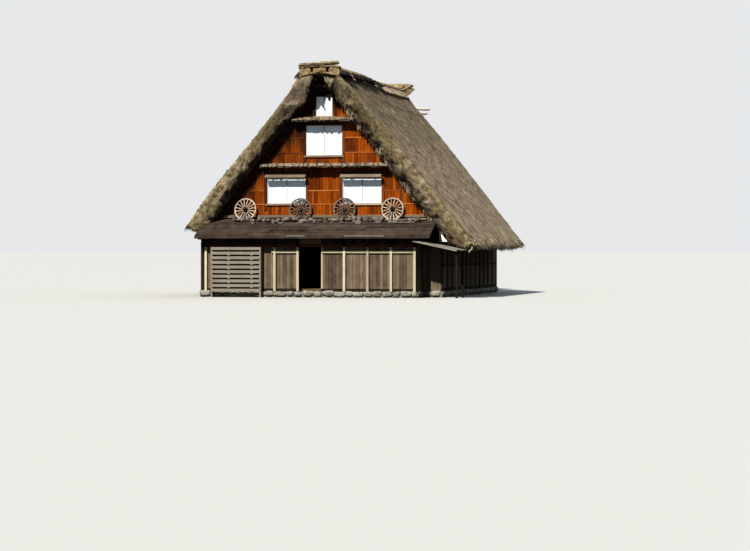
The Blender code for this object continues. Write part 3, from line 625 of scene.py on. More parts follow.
def straw(name, colours, fine=26.0, long=1.5, mossy=True, depth=0.012):
    """Thatch: grey and tan streaks with pits darkened as painted shade, moss where its number
    says so, and dark straw where the number for that says so, most of it painted shade."""
    material, tree, shader = new_material(name, 0.95, 0.05)
    tone = number_of(tree, "tone")
    fibre = use_group(tree, STRAW, Fine=fine, Long=long)
    dark, middle, light = colours
    colour = mixed(tree, fibre["Streaks"], middle, light)
    colour = mixed(tree, span(tree, fibre["Clumps"], 0.0, 1.0, 0.5, 0.0), colour, dark)
    colour = mixed(tree, span(tree, tone, 0.5, 1.0, 0.0, 0.6), colour, light)
    colour = mixed(tree, span(tree, tone, 0.0, 0.5, 0.8, 0.0), colour, dark)
    if mossy:
        patch = span(tree, fibre["Clumps"], 0.1, 0.9, 0.35, 1.0)
        share = times(tree, number_of(tree, "moss"), patch)
        colour = mixed(tree, share, colour, mixed(tree, fibre["Streaks"], *MOSS_SHADES))
    # Pits darken as painted shade in the hollows that the same pits dig through the bump
    pit = span(tree, fibre["Pits"], 0.0, 1.0, 0.65, 0.0)
    colour = mixed(tree, pit, colour, tuple(0.22 * value for value in dark))
    # Dark straw where the points' number says so: mostly painted shade in gaps, spots and shaded tufts,
    # and darker towards the underside
    if mossy:
        colour = mixed(tree, number_of(tree, "smoke"), colour, SHADE_AND_DARK_STRAW)
    tree.links.new(colour, shader.inputs["Base Color"])
    bump(tree, shader, fibre["Height"], depth)
    return material


def rock(name, colours, scale=6.0, foot=0.0):
    """Field stone: grey tones by stone, lichen spots and a rough face."""
    material, tree, shader = new_material(name, 0.9, 0.25)
    place = on_object(tree)
    low, high, spot = colours
    grit = cloudy(tree, place, scale, 8.0)
    fleck = cloudy(tree, place, scale * 5, 3.0)
    colour = mixed(tree, span(tree, grit, 0.35, 0.65), low, high)
    colour = mixed(tree, span(tree, number_of(tree, "tone"), 0.3, 1.0, 0.0, 0.75), colour, high)
    colour = mixed(tree, span(tree, fleck, 0.58, 0.7, 0.0, 0.7), colour, spot)
    if foot:
        weather = use_group(tree, WEATHER, Foot=foot, Patch=2.0)
        colour = mixed(tree, times(tree, weather["Splash"], 0.7), colour, EARTH_ON_STONE)
    tree.links.new(colour, shader.inputs["Base Color"])
    bump(tree, shader, maths(tree, "ADD", grit, times(tree, fleck, 0.3)), 0.02)
    return material


def paper(name):
    """White paper on a sliding screen: faint fibres, a little grey in clouds and a faint painted glow."""
    material, tree, shader = new_material(name, 0.75, 0.3)
    place = on_object(tree)
    fibre = cloudy(tree, place, 30.0, 6.0)
    cloud = span(tree, cloudy(tree, place, 1.6, 4.0), 0.3, 0.7)
    colour = mixed(tree, cloud, (0.55, 0.62, 0.70), (0.63, 0.695, 0.765))
    colour = mixed(tree, span(tree, fibre, 0.55, 0.75, 0.0, 0.25), colour, (0.66, 0.66, 0.64))
    tree.links.new(colour, shader.inputs["Base Color"])
    # A faint painted glow in the paper's own colour keeps its shaded parts light
    tree.links.new(colour, shader.inputs["Emission Color"])
    shader.inputs["Emission Strength"].default_value = 0.07
    bump(tree, shader, fibre, 0.001)
    return material


# Cells of the grain a metre, along x, y and z, for boards that run along z, x and y
VERTICAL = (46.0, 46.0, 2.2)
ACROSS = (2.2, 46.0, 46.0)
LENGTHWISE = (46.0, 2.2, 46.0)
EVEN = (20, 20, 20)
BUNDLED = (46.0, 4.0, 46.0)

# Dark, middle and light colour of each finish
OLD_STRAW = ((0.104, 0.081, 0.057), (0.205, 0.167, 0.120), (0.480, 0.408, 0.316))
NEW_STRAW = ((0.17, 0.125, 0.07), (0.35, 0.265, 0.16), (0.54, 0.45, 0.30))
NEW_FRINGE = ((0.15, 0.115, 0.07), (0.34, 0.27, 0.175), (0.54, 0.45, 0.31))
TWIG = ((0.17, 0.13, 0.08), (0.38, 0.31, 0.20), (0.58, 0.49, 0.33))
FRONT_TWIG = ((0.24, 0.19, 0.12), (0.47, 0.395, 0.27), (0.64, 0.56, 0.41))
POLE = ((0.24, 0.225, 0.195), (0.44, 0.42, 0.38), (0.60, 0.58, 0.54))
# Black bark, which also stands in as painted shade under the ridge mat's edge
BARK_AND_SHADE = ((0.012, 0.010, 0.010), (0.03, 0.026, 0.024), (0.07, 0.06, 0.055))
ORANGE_BOARD = ((0.050, 0.009, 0.002), (0.195, 0.046, 0.004), (0.50, 0.175, 0.015))
BACKING = ((0.05, 0.014, 0.005), (0.10, 0.03, 0.008), (0.16, 0.05, 0.014))
RAIL = ((0.20, 0.055, 0.014), (0.38, 0.135, 0.036), (0.56, 0.26, 0.09))
POST = ((0.055, 0.018, 0.008), (0.15, 0.05, 0.018), (0.25, 0.10, 0.035))
SILL = ((0.16, 0.11, 0.08), (0.34, 0.25, 0.18), (0.50, 0.42, 0.33))
SCREEN = ((0.50, 0.50, 0.50), (0.66, 0.67, 0.68), (0.80, 0.81, 0.82))
GREY_BARK = ((0.055, 0.043, 0.031), (0.18, 0.145, 0.108), (0.42, 0.36, 0.28))
LEAN_TO = ((0.06, 0.056, 0.05), (0.19, 0.18, 0.165), (0.36, 0.35, 0.33))
SKIRT_BROWN = ((0.013, 0.009, 0.007), (0.048, 0.035, 0.028), (0.15, 0.115, 0.095))
# Dark wood, also painted shade on the front under the skirt roof
DARK_AND_SHADED = ((0.020, 0.014, 0.011), (0.055, 0.038, 0.028), (0.12, 0.088, 0.066))
WALL = ((0.05, 0.036, 0.024), (0.14, 0.105, 0.072), (0.30, 0.245, 0.18))
PALE_POST = ((0.20, 0.17, 0.11), (0.44, 0.40, 0.29), (0.66, 0.62, 0.49))
PALE_BOARD = ((0.17, 0.15, 0.125), (0.38, 0.36, 0.31), (0.60, 0.58, 0.53))
FLOOR = ((0.11, 0.07, 0.04), (0.22, 0.15, 0.09), (0.34, 0.25, 0.16))
PALE_WHEEL = ((0.10, 0.08, 0.06), (0.38, 0.33, 0.27), (0.62, 0.57, 0.49))
DARK_WHEEL = ((0.055, 0.04, 0.032), (0.15, 0.115, 0.09), (0.34, 0.29, 0.25))
FIELD_STONE = ((0.03, 0.026, 0.023), (0.19, 0.17, 0.148), (0.40, 0.372, 0.335))
FOOTING = ((0.13, 0.125, 0.115), (0.30, 0.29, 0.27), (0.40, 0.39, 0.35))
PAINT = ((0.60, 0.60, 0.56), (0.74, 0.74, 0.71), (0.84, 0.84, 0.82))

THATCH = straw("old_thatch", OLD_STRAW)
FRINGE = straw("frayed_straw", OLD_STRAW, 30.0, 5.0, depth=0.003)
RIDGE_STRAW = wood("ridge_straw", NEW_STRAW, BUNDLED, 0.95, 0.008)
RIDGE_FRINGE = straw("ridge_fringe", NEW_FRINGE, mossy=False, depth=0.004)
TWIGS = wood("ridge_twigs", TWIG, ACROSS, 0.9)
FRONT_TWIGS = wood("front_twigs", FRONT_TWIG, ACROSS, 0.9)
POLE_WOOD = wood("pale_poles", POLE, ACROSS, 0.8)
DARK_BARK_AND_SHADE = wood("bark_and_painted_shade", BARK_AND_SHADE, ACROSS, 0.9)
GABLE_BOARDS = wood("gable_boards", ORANGE_BOARD, VERTICAL, 0.5, shade_and_grease_marks=True)
GABLE_BACK = wood("gable_backing", BACKING, VERTICAL, 0.7)
RAIL_WOOD = wood("gable_rails", RAIL, ACROSS, 0.55, shade_and_grease_marks=True)
POST_WOOD = wood("gable_posts", POST, VERTICAL, 0.6, shade_and_grease_marks=True)
SILL_WOOD = wood("window_sills", SILL, ACROSS, 0.75)
PAPER = paper("shoji_paper")
SCREEN_FRAME = wood("shoji_frames", SCREEN, VERTICAL, 0.7)
BARK = wood("grey_bark", GREY_BARK, LENGTHWISE, 0.9, 0.003)
SKIRT = wood("skirt_boards", SKIRT_BROWN, ACROSS, 0.55, 0.002, 0.12)
DARK_WOOD = wood("dark_wood", DARK_AND_SHADED, VERTICAL, 0.7)
WALL_BOARDS = wood("wall_boards", WALL, VERTICAL, 0.75, 0.003, 0.2, 0.5)
PALE_POSTS = wood("pale_posts", PALE_POST, VERTICAL, 0.75)
PALE_BOARDS = wood("pale_boards", PALE_BOARD, ACROSS, 0.75, 0.003)
FLOOR_BOARDS = wood("floor_boards", FLOOR, LENGTHWISE, 0.6)
LEAN_TO_BARK = wood("lean_to_bark", LEAN_TO, ACROSS, 0.85, 0.003)
WHEEL_PALE = wood("pale_wheel_wood", PALE_WHEEL, EVEN, 0.8, shade_and_grease_marks=True)
WHEEL_DARK = wood("dark_wheel_wood", DARK_WHEEL, EVEN, 0.8)
STONE = rock("field_stone", FIELD_STONE)
BASE_STONE = rock("base_stone", FOOTING, 4.0, 0.15)
WHITE_PAINT = wood("white_paint", PAINT, LENGTHWISE, 0.6)


# Thatch

# A seam between two layers of straw, in metres down the slope
SEAM_DOWN = COS * 1.52 - SIN * 8.80

# How far the eave's cut lies back up the slope at each depth into the thatch
LOW_DEPTH = (0.0, 0.372, 0.561, 0.718)
LOW_BACK = (0.0, 0.077, 0.290, 0.720)

# Rounding of a slope's edges across the roof, up the slope and into it
SLOPE_RADIUS = {"right": (0.12, 0.10, 0.12), "left": (0.12, 0.22, 0.18)}

# From here outwards a thatch point counts as part of the verge's face
FACE_Y = 6.28

# Cells of the slopes: across the roof, length of one up the slope, and into the thatch
SLOPE_CELLS = (184, 0.052, 12)

# Wisps of straw on each slope, verge face, verge edge and eave
SLOPE_WISPS = 24000
FACE_WISPS = 5600
EDGE_WISPS = 5200
EAVE_WISPS = 7500


def on_slope(y, share, depth, side, eave_z):
    """Point of a thatched slope from y, its share up the slope and its depth in metres.

    The slope line starts on the eave's cut and ends on the level seat of the ridge. A
    parabola fills the middle, a bell curve swells the left foot, and the sag comes off
    at the end."""
    low = np.interp(depth, LOW_DEPTH, LOW_BACK)
    top = (SEAT_Z - eave_z + COS * depth) / SIN
    run = low + share * (top - low)
    full = BELLY * 4 * share * (1 - share)
    if side < 0:
        full = full + LEFT_SWELL * np.exp(-(((share - 0.2) / 0.22) ** 2))
    inward = depth - full * np.clip(1 - depth / THATCH_DEEP, 0, 1)
    x = half_out(eave_z) - COS * run - SIN * inward
    z = eave_z + SIN * run - COS * inward
    drop = settled(y, z) * (1 - 0.7 * depth / THATCH_DEEP)
    return np.stack([side * x, y, z - drop], -1)


def slope_place(points):
    """Place on either slope in metres: along the ridge, down the slope and into it."""
    side = np.abs(points[..., 0])
    down = side * COS - points[..., 2] * SIN
    deep = side * SIN + points[..., 2] * COS
    return np.stack([points[..., 1] - STRAW_SLANT * down, down, deep], -1)


def above_eave(points):
    """Metres up the slope from the arris of the eave on the point's side."""
    eave_z = np.where(points[..., 0] > 0, SLOPES["right"][1], SLOPES["left"][1])
    eave_down = half_out(eave_z) * COS - eave_z * SIN
    return eave_down - (np.abs(points[..., 0]) * COS - points[..., 2] * SIN)


def thatch_relief(points):
    """Height of the worn straw over its smooth form: swells, clumps and drawn-out gouges.

    All of them are longer down the slope than across it."""
    p = slope_place(points)
    swell = 0.025 * noise(p, (0.5, 0.35, 0.5), 1)
    clump = 0.005 * noise(p, (2.6, 0.6, 2.6), 2)
    rough = 0.005 * noise(p, (7.0, 1.1, 7.0), 3)
    gouge = -0.012 * smooth((noise(p, (7.0, 1.6, 7.0), 4) - 0.55) * 6)
    y = points[..., 1]
    face = smooth((np.abs(y) - FACE_Y) / 0.10)
    lumps = 0.014 * noise(p, (6.0, 5.0, 6.0), 21) + 0.022 * noise(p, (10.0, 9.0, 10.0), 22)
    seam = np.exp(-(((p[..., 1] - SEAM_DOWN - 0.05 * y) / 0.05) ** 2))
    layer = 0.016 * seam * smooth((y + 3.2) / 1.5)
    eave = smooth((0.55 - above_eave(points)) / 0.40)
    ends = eave * (0.040 * noise(p, (5.0, 2.0, 5.0), 16) + 0.030 * noise(p, (11.0, 3.0, 11.0), 17))
    return swell + clump + rough + gouge + layer + ends + face * lumps


def moss_cover(points, depth):
    """Share of moss: on the verge faces out to their outer arris, broken by noise, and
    none near the ridge."""
    p = slope_place(points)
    near = smooth((np.abs(points[..., 1]) - (VERGE_Y - 0.20)) / 0.14)
    outer = 1 - smooth((depth - 0.40 - 0.12 * noise(p, (1.5, 0.8, 1.5), 5)) / 0.22)
    strip = 0.30 * smooth((np.abs(points[..., 1]) - 5.4) / 1.0)
    patch = smooth(0.55 + 0.6 * noise(p, (1.1, 0.5, 1.1), 6) + 0.35 * noise(p, (5.0, 3.0, 5.0), 18))
    low = 1 - 0.85 * smooth((points[..., 2] - 8.4) / 0.9)
    return np.clip((near * outer + strip) * patch * low, 0, 1)


def shade_and_darkening_cover(points, depth, side):
    """Share of dark straw: darker towards the underside and on the verge faces towards it,
    and painted shade in spots on those faces and in the gaps between the straw ends of the eave's cut."""
    p = slope_place(points)
    far = np.abs(points[..., 2] - 5.5) - 1.0
    start = 0.44 + 0.13 * smooth(far / 1.2) if side < 0 else 0.44
    worn = start + 0.08 * noise(p, (2.0, 1.6, 2.0), 19) + 0.10 * noise(p, (6.0, 5.0, 6.0), 20)
    most = 0.93 if side < 0 else 0.60
    inner = most * smooth((depth - worn) / 0.12)
    face = smooth((np.abs(points[..., 1]) - FACE_Y) / 0.10)
    # Painted shade in spots on the verge faces
    spots = smooth(0.3 + 1.2 * noise(p, (9.0, 8.0, 9.0), 23)) * (0.4 + 1.3 * smooth((depth - 0.25) / 0.3))
    high = smooth((points[..., 2] - 5.6) / 2.5) * (1 - smooth((points[..., 2] - 8.3) / 0.6))
    even = 0.24 * high * smooth((depth - 0.15) / 0.35) if side < 0 else 0.04
    # Painted shade in the gaps between the straw ends of the right eave's cut
    cut = smooth((0.10 - above_eave(points)) / 0.10) if side > 0 else 0.0
    gaps = 0.85 * cut * smooth(1.6 * noise(p, (4.2, 1.0, 1.0), 24) - 0.1)
    return np.clip(np.maximum(inner, gaps) + face * (even + 0.36 * spots), 0, 1)


def verge_back(y, depth, side):
    """Y of a thatch point once its verge face is rounded back towards the inner edge."""
    most = 0.03 if side < 0 else 0.10
    back = most * smooth((depth - 0.22) / 0.55)
    return np.where(np.abs(y) > 6.0, np.sign(y) * (np.abs(y) - back * (np.abs(y) - 6.0) / 0.45), y)


def thin_top(y, depth, share):
    """Depth of a thatch point, less where the verge thins out towards the ridge."""
    high = smooth((share - 0.86) / 0.12) * smooth((np.abs(y) - 6.02) / 0.1)
    return depth * (1 - 0.42 * high)


def weathering(z):
    """Shift of tone with height: straw is paler near the eaves and darker near the ridge."""
    return 0.13 * (1 - smooth((z - 2.6) / 3.0)) - 0.32 * smooth((z - 5.4) / 3.4)


def build_thatch():
    """Two slopes of thatch as rounded blocks carried up the slope and pushed by relief."""
    for label, (side, eave_z) in SLOPES.items():
        run = (SEAT_Z - eave_z) / SIN
        across, long, deep = SLOPE_CELLS
        a, b, c, faces = block_shell(across, int(run / long), deep)
        p = rounded(a, b, c, (2 * VERGE_Y, run, THATCH_DEEP), SLOPE_RADIUS[label])
        depth = p[:, 2]
        y = verge_back(p[:, 0] - VERGE_Y, depth, side)
        points = on_slope(y, p[:, 1] / run, thin_top(y, depth, p[:, 1] / run), side, eave_z)
        if side > 0:
            faces = faces[:, ::-1]
        normal = normals_of(points, faces)
        near = smooth((np.abs(points[:, 1]) - 6.08) / 0.25)
        inner = smooth((depth - 0.45) / 0.25)
        place = slope_place(points)
        ragged = 0.6 + 0.6 * noise(place, (1.5, 2.8, 1.5), 7) + 0.4 * noise(place, (5, 7, 5), 8)
        more = 0.13 if side > 0 else 0.0
        more = more * (1 - smooth((points[:, 2] - 8.3) / 0.8))
        push = thatch_relief(points) + near * inner * more * ragged
        hidden = smooth((depth - 0.5) / 0.2) * (1 - smooth((np.abs(points[:, 1]) - 5.7) / 0.3))
        points = points + normal * (push * (1 - hidden))[:, None]
        tone = 0.5 + weathering(points[:, 2])
        marks = {"moss": moss_cover(points, depth), "smoke": shade_and_darkening_cover(points, depth, side)}
        obj = piece(f"thatch_slope_{label}", points, faces, THATCH, "old_thatch", tone, marks)
        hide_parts(f"thatch_{label}")


def slope_frame(side):
    """Outward and downward directions of a slope."""
    return np.array([side * SIN, 0.0, COS]), np.array([side * COS, 0.0, -SIN])


def build_straw():
    """Loose wisps that lie on the slopes, tips down the slope."""
    for label, (side, eave_z) in SLOPES.items():
        rng = np.random.default_rng(21 + side)
        out, down = slope_frame(side)
        count = SLOPE_WISPS
        y = rng.uniform(-VERGE_Y + 0.05, VERGE_Y - 0.05, count)
        share = rng.uniform(0.0, 0.97, count)
        root = on_slope(y, share, np.zeros(count), side, eave_z)
        root = root + out * thatch_relief(root)[:, None]
        along = down + np.array([0.0, STRAW_SLANT, 0.0])
        along = along + rng.normal(0, 0.045, (count, 3)) * (0.3, 1.0, 0.3)
        made = wisps(rng, root, along, out, (0.16, 0.44), (0.016, 0.085), (-0.004, 0.008), (0.003, 0.011))
        tone = np.clip(rng.uniform(0, 1, count) + weathering(root[:, 2]), 0, 1)
        marks = {"moss": moss_cover(root, np.zeros(count)), "smoke": 0.0}
        wisp_piece(f"straw_{label}", made, FRINGE, "old_thatch", tone, marks, crease=5.0)


def face_straw(rng, side, eave_z, end):
    """Wisps on a verge face, laid down the slope and a little inwards."""
    out, down = slope_frame(side)
    count = FACE_WISPS
    depth = rng.uniform(0.02, THATCH_DEEP + 0.03, count)
    share = rng.uniform(0.01, 0.985, count)
    y = verge_back(np.full(count, end * VERGE_Y), depth, side)
    root = on_slope(y, share, thin_top(y, depth, share), side, eave_z)
    root[:, 1] += end * (0.006 - 0.09 * smooth((0.14 - depth) / 0.14))
    along = down - out * rng.uniform(-0.05, 0.45, count)[:, None]
    along = along + rng.normal(0, 0.30, (count, 3))
    along[:, 1] = end * np.abs(along[:, 1]) * 0.2
    away = [0.0, float(end), 0.0]
    made = wisps(rng, root, along, away, (0.06, 0.20), (0.016, 0.045), (0.0, 0.022), (0.004, 0.014))
    tone = rng.uniform(0.0, 0.9 if side < 0 else 0.55, count)
    return made, tone, moss_cover(root, depth), shade_and_darkening_cover(root, depth, side)


def edge_straw(rng, side, eave_z, end):
    """Frayed tufts that hang from the inner edge of a verge in clumps."""
    out, down = slope_frame(side)
    count = EDGE_WISPS
    more, long = (0.12, 1.0) if side > 0 else (-0.02, 0.55)
    share = rng.uniform(0.01, 0.97, count)
    depth = THATCH_DEEP + rng.uniform(-0.20, more, count)
    y = end * rng.uniform(6.06, 6.30 if side < 0 else 6.38, count)
    root = on_slope(y, share, thin_top(y, depth, share), side, eave_z)
    clump = smooth(0.5 + 1.1 * noise(slope_place(root) * (1, 1, 0.3), (1.5, 3.6, 1.5), 9))
    along = np.array([0.0, end * 0.22, -0.7]) - out * 0.25 + down * 0.55
    along = along + rng.normal(0, 0.20, (count, 3))
    top = long * (1 - 0.7 * smooth((root[:, 2] - 8.7) / 0.6))
    length = (rng.uniform(0.05, 0.15, count) + 0.16 * clump * rng.uniform(0.3, 1.0, count)) * top
    away = [0.0, float(end), 0.0]
    made = wisps(rng, root, along, away, length, (0.018, 0.050), (-0.01, 0.04), (0.006, 0.018))
    # Painted shade: every tuft on the left is dark, and on the right the gaps between clumps
    smoke = 0.9 if side < 0 else 0.75 * (1 - clump)
    tone = 0.2 + 0.8 * clump * rng.uniform(0.3, 1.0, count)
    return made, tone, np.zeros(count), smoke + np.zeros(count)


def build_verge_straw():
    """Straw on the verge faces and the frayed tufts along their inner edges."""
    for label, end in (("front", -1), ("back", 1)):
        laid = []
        for side, eave_z in SLOPES.values():
            rng = np.random.default_rng(40 + side + 5 * end)
            for maker in (face_straw, edge_straw):
                laid.append(maker(rng, side, eave_z, end))
        parts, *numbers = zip(*laid)
        tone, moss, smoke = (np.concatenate(part) for part in numbers)
        marks = {"moss": moss, "smoke": smoke}
        wisp_piece(f"verge_straw_{label}", join(parts), FRINGE, "old_thatch", tone, marks, crease=5.0)


FORWARD = [0.0, -1.0, 0.0]

# Roots and tips of the dark tufts before the front peak
APEX_TUFTS = (
    (-0.62, -6.62, 9.32, -0.45, -6.80, 8.99),
    (-0.50, -6.64, 9.42, -0.20, -6.80, 8.91),
    (-0.60, -6.60, 9.25, -0.58, -6.72, 8.95),
    (-0.40, -6.66, 9.48, -0.42, -6.78, 9.12),
    (-0.25, -6.66, 9.50, -0.28, -6.78, 9.14),
)


def build_apex_straw():
    """Tufts that hang before the peak of the front gable and shade its window; all but the first are
    darkened as painted shade.
    """
    rng = np.random.default_rng(95)
    count = 260
    tuft = rng.integers(0, len(APEX_TUFTS), count)
    ends = np.array(APEX_TUFTS)[tuft]
    root = ends[:, :3] + rng.normal(0, 0.05, (count, 3)) * (1.0, 0.4, 0.6)
    tip = ends[:, 3:] + rng.normal(0, 0.018, (count, 3))
    along = tip - root
    length = np.linalg.norm(along, axis=1) * rng.uniform(0.6, 1.0, count)
    made = wisps(rng, root, along, FORWARD, length, (0.030, 0.060), (0.0, 0.01), (0.010, 0.020))
    # Painted shade on all tufts but the first, which is only a little dark
    marks = {"moss": 0.0, "smoke": np.where(tuft == 0, 0.25, 0.92)}
    wisp_piece("apex_straw", made, FRINGE, "old_thatch", rng.uniform(0, 1, count), marks)


# Inner ends of the lit straw at the verge tops: height, x on the left, x on the right
VERGE_TOP_Z = (8.13, 8.51, 8.73, 9.00, 9.27, 9.59)
VERGE_TOP_LEFT = (-0.98, -0.74, -0.60, -0.47, -0.38, -0.28)
VERGE_TOP_RIGHT = (1.02, 0.76, 0.60, 0.57, 0.64, 0.74)


def build_verge_tops():
    """Lit straw over the tops of the front verges, out to the ridge's front end.

    Each wisp's root lies between the slope line and the inner edge at its height, and
    the straw eases back to the verge face further down."""
    rng = np.random.default_rng(97)
    laid = []
    for side, inner_x, count in ((-1, VERGE_TOP_LEFT, 1500), (1, VERGE_TOP_RIGHT, 1000)):
        z = 9.57 - 1.15 * rng.uniform(0, 1, count) ** 1.2
        outer = side * (half_out(z) - 0.06)
        share = rng.uniform(0, 1, count)
        x = outer + (np.interp(z, VERGE_TOP_Z, inner_x) - outer) * share
        y = -6.83 + 0.36 * smooth((9.60 - z) / 1.2) + rng.uniform(-0.012, 0.012, count)
        root = np.stack([x, y, z], -1)
        out, down = slope_frame(side)
        along = down - out * rng.uniform(-0.1, 0.4, count)[:, None] + rng.normal(0, 0.18, (count, 3))
        along[:, 1] = -np.abs(along[:, 1]) * 0.05
        made = wisps(rng, root, along, FORWARD, (0.10, 0.26), (0.030, 0.065), (0.0, 0.008), (0.004, 0.010))
        low_tone, high_tone, moss = (0.25, 1.0, 0.0) if side < 0 else (0.0, 0.8, 0.55)
        tone = rng.uniform(low_tone, high_tone, count)
        # Straw towards the inner edge is darkened as painted shade
        laid.append((made, tone, np.full(count, moss), np.clip(0.7 * (share - 0.75) / 0.25, 0.0, 0.7)))
    parts, *numbers = zip(*laid)
    tone, moss, smoke = (np.concatenate(part) for part in numbers)
    marks = {"moss": moss, "smoke": smoke}
    wisp_piece("verge_top_straw", join(parts), FRINGE, "old_thatch", tone, marks, crease=5.0)


def eave_clumps(rng, side, eave_z, count):
    """Straw ends past the eave's cut, gathered in clumps with painted shade in the gaps between."""
    out, down = slope_frame(side)
    y = rng.uniform(-VERGE_Y + 0.02, VERGE_Y - 0.02, count)
    shallow = rng.random(count) < 0.6
    depth = np.where(shallow, rng.uniform(-0.015, 0.06, count), rng.uniform(0.06, 0.50, count))
    line = np.stack([y, y * 0, y * 0], -1)
    clump = smooth(0.5 + 1.2 * noise(line, (4.2, 1, 1), 24) + 0.7 * noise(line, (9.5, 1, 1), 25))
    root = on_slope(y, rng.uniform(-0.004, 0.030, count), depth, side, eave_z)
    along = down + rng.normal(0, 0.12, (count, 3)) + np.array([0, STRAW_SLANT, 0])
    along[:, 2] -= np.where(shallow, 0.0, 0.20)
    length = (0.03 + 0.26 * clump**2 * rng.uniform(0.2, 1.0, count)) * (1.0 if side > 0 else 0.6)
    made = wisps(rng, root, along, out, length, (0.016, 0.045), (-0.01, 0.02), (0.006, 0.02))
    # Painted shade: straw between the clumps is darkened
    dark = np.clip(1.2 - 1.5 * clump, 0, 0.95) * rng.uniform(0.7, 1.0, count)
    return made, np.clip(0.1 + 0.9 * clump, 0, 1) * rng.uniform(0.5, 1.0, count), dark


def build_eave_straw():
    """Straw ends along the eaves: short wisps on the cut and past its outer arris."""
    for label, (side, eave_z) in SLOPES.items():
        rng = np.random.default_rng(60 + side)
        made, tone, dark = eave_clumps(rng, side, eave_z, EAVE_WISPS)
        marks = {"moss": 0.0, "smoke": dark}
        wisp_piece(f"eave_straw_{label}", made, FRINGE, "old_thatch", tone, marks)


# Ridge

RIDGE_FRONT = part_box("ridge_cap")[0].y
RIDGE_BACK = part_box("ridge_cap")[1].y
CAP_HALF = 0.86
CAP_HIGH = 0.36
CAP_ARCH = 0.14
MAT_HALF = 0.82
MAT_THICK = 0.075
MAT_CROWN = 0.045

# How far the mat reaches past the bundles at the back and at the front
ROLL_OVER = 0.18
MAT_OVER = 0.03

UPWARD = [0.0, 0.0, 1.0]


def build_ridge():
    """Three long bundles side by side on the ridge, and a mat of twigs over them."""
    length = RIDGE_BACK - RIDGE_FRONT
    parts = []
    for low, high in ((-CAP_HALF, -0.375), (-0.325, 0.325), (0.375, CAP_HALF)):
        a, b, c, quads = block_shell(10, 190, 7)
        p = rounded(a, b, c, (high - low, length, CAP_HIGH), (0.07, 0.05, 0.07))
        x = low + p[:, 0]
        y = RIDGE_FRONT + p[:, 1]
        z = SEAT_Z + p[:, 2]
        arch = CAP_ARCH * (1 - (x / CAP_HALF) ** 2) * smooth((-6.2 - y) / 0.4)
        prow = 0.18 * smooth((y - 6.9) / 1.2)
        z = z + (arch + prow) * (1 - c) - ridge_drop(y)
        outer = smooth((np.abs(x) - 0.4) / 0.4) * smooth((y - RIDGE_FRONT - 0.1) / 0.4)
        x = x + np.sign(x) * outer * (0.16 - 0.34 * c)
        q = np.stack([x, y, z], -1)
        normal = normals_of(q, quads)
        push = 0.022 * noise(q, (7, 2.0, 7), 8) + 0.014 * noise(q, (16, 5, 16), 9)
        ends = smooth((np.abs(p[:, 1] - length / 2) - length / 2 + 0.06) / 0.05)
        push = push + ends * 0.035 * noise(q, (18, 1, 14), 10)
        parts.append((q + normal * push[:, None], quads))
    obj = piece("ridge_bundles", *join(parts), RIDGE_STRAW, "ridge_thatch")
    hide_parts("ridge_cap")

    a, b, c, quads = block_shell(26, 220, 4)
    p = rounded(a, b, c, (1.0, length + ROLL_OVER + MAT_OVER, 1.0), (0.06, 0.08, 0.45))
    y = RIDGE_FRONT - MAT_OVER + p[:, 1]
    x = (p[:, 0] * 2 - 1) * mat_half(y)
    thick = MAT_THICK + MAT_CROWN * (1 - (x / MAT_HALF) ** 2)
    z = SEAT_Z + CAP_HIGH + 0.002 + p[:, 2] * thick - ridge_drop(y)
    q = np.stack([x, y, z], -1)
    edge = smooth((np.abs(x) - 0.50) / 0.22)
    q[:, 0] += np.sign(x) * edge * (0.05 * noise(q, (0.2, 3.0, 0.2), 12) + 0.07 * (1 - c))
    q[:, 2] += 0.02 * noise(q, (3.0, 5.0, 3.0), 13) - 0.05 * edge * (1 - c) - edge_drop(x, y)
    obj = piece("ridge_mat", q, quads, TWIGS, "ridge_thatch")
    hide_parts("ridge_roll")


def between_ends(y):
    """Share from 0 at the mat's front and back ends to 1 between them."""
    return smooth((y - RIDGE_FRONT - 0.1) / 0.4) * (1 - smooth((y - 7.2) / 0.8))


def mat_half(y):
    """Half the mat's width at y: full at both ends and narrower between them."""
    return MAT_HALF + 0.02 - 0.12 * between_ends(y)


def edge_drop(x, y):
    """How far the mat bends down towards its long edges, behind the front end."""
    return 0.09 * smooth((np.abs(x) - 0.45) / 0.28) * between_ends(y)


def mat_top(x, y):
    """Height of the mat's upper face at x and y."""
    arch = MAT_CROWN * (1 - (x / MAT_HALF) ** 2)
    return SEAT_Z + CAP_HIGH + 0.077 + arch - ridge_drop(y) - edge_drop(x, y)


def slope_up(side):
    """Outward direction of the slope under each wisp, from the side that it lies on."""
    return np.stack([side * SIN, np.zeros(len(side)), np.full(len(side), COS)], -1)


def cross_twigs(rng, count):
    """Twigs that lie across the mat and stick out past its edges, some hanging over."""
    side = rng.choice([-1.0, 1.0], count)
    y = rng.uniform(RIDGE_FRONT, RIDGE_BACK + ROLL_OVER - 0.02, count)
    start = rng.uniform(0.0, 0.55, count)
    reach = np.minimum(start + rng.uniform(0.3, 0.7, count), mat_half(y) + rng.uniform(-0.03, 0.08, count))
    level = rng.uniform(-0.05, 0.012, count)
    root = np.stack([side * start, y, mat_top(start, y) + level], -1)
    tip = np.stack([side * reach, y + rng.normal(0, 0.07, count), mat_top(reach, y) + level], -1)
    tip[:, 2] -= 0.10 * smooth((reach - 0.70) / 0.15) * rng.uniform(0, 1, count)
    along = tip - root
    length = np.linalg.norm(along, axis=1)
    return wisps(rng, root, along, UPWARD, length, (0.016, 0.040), (0.0, 0.018), (0.008, 0.022))


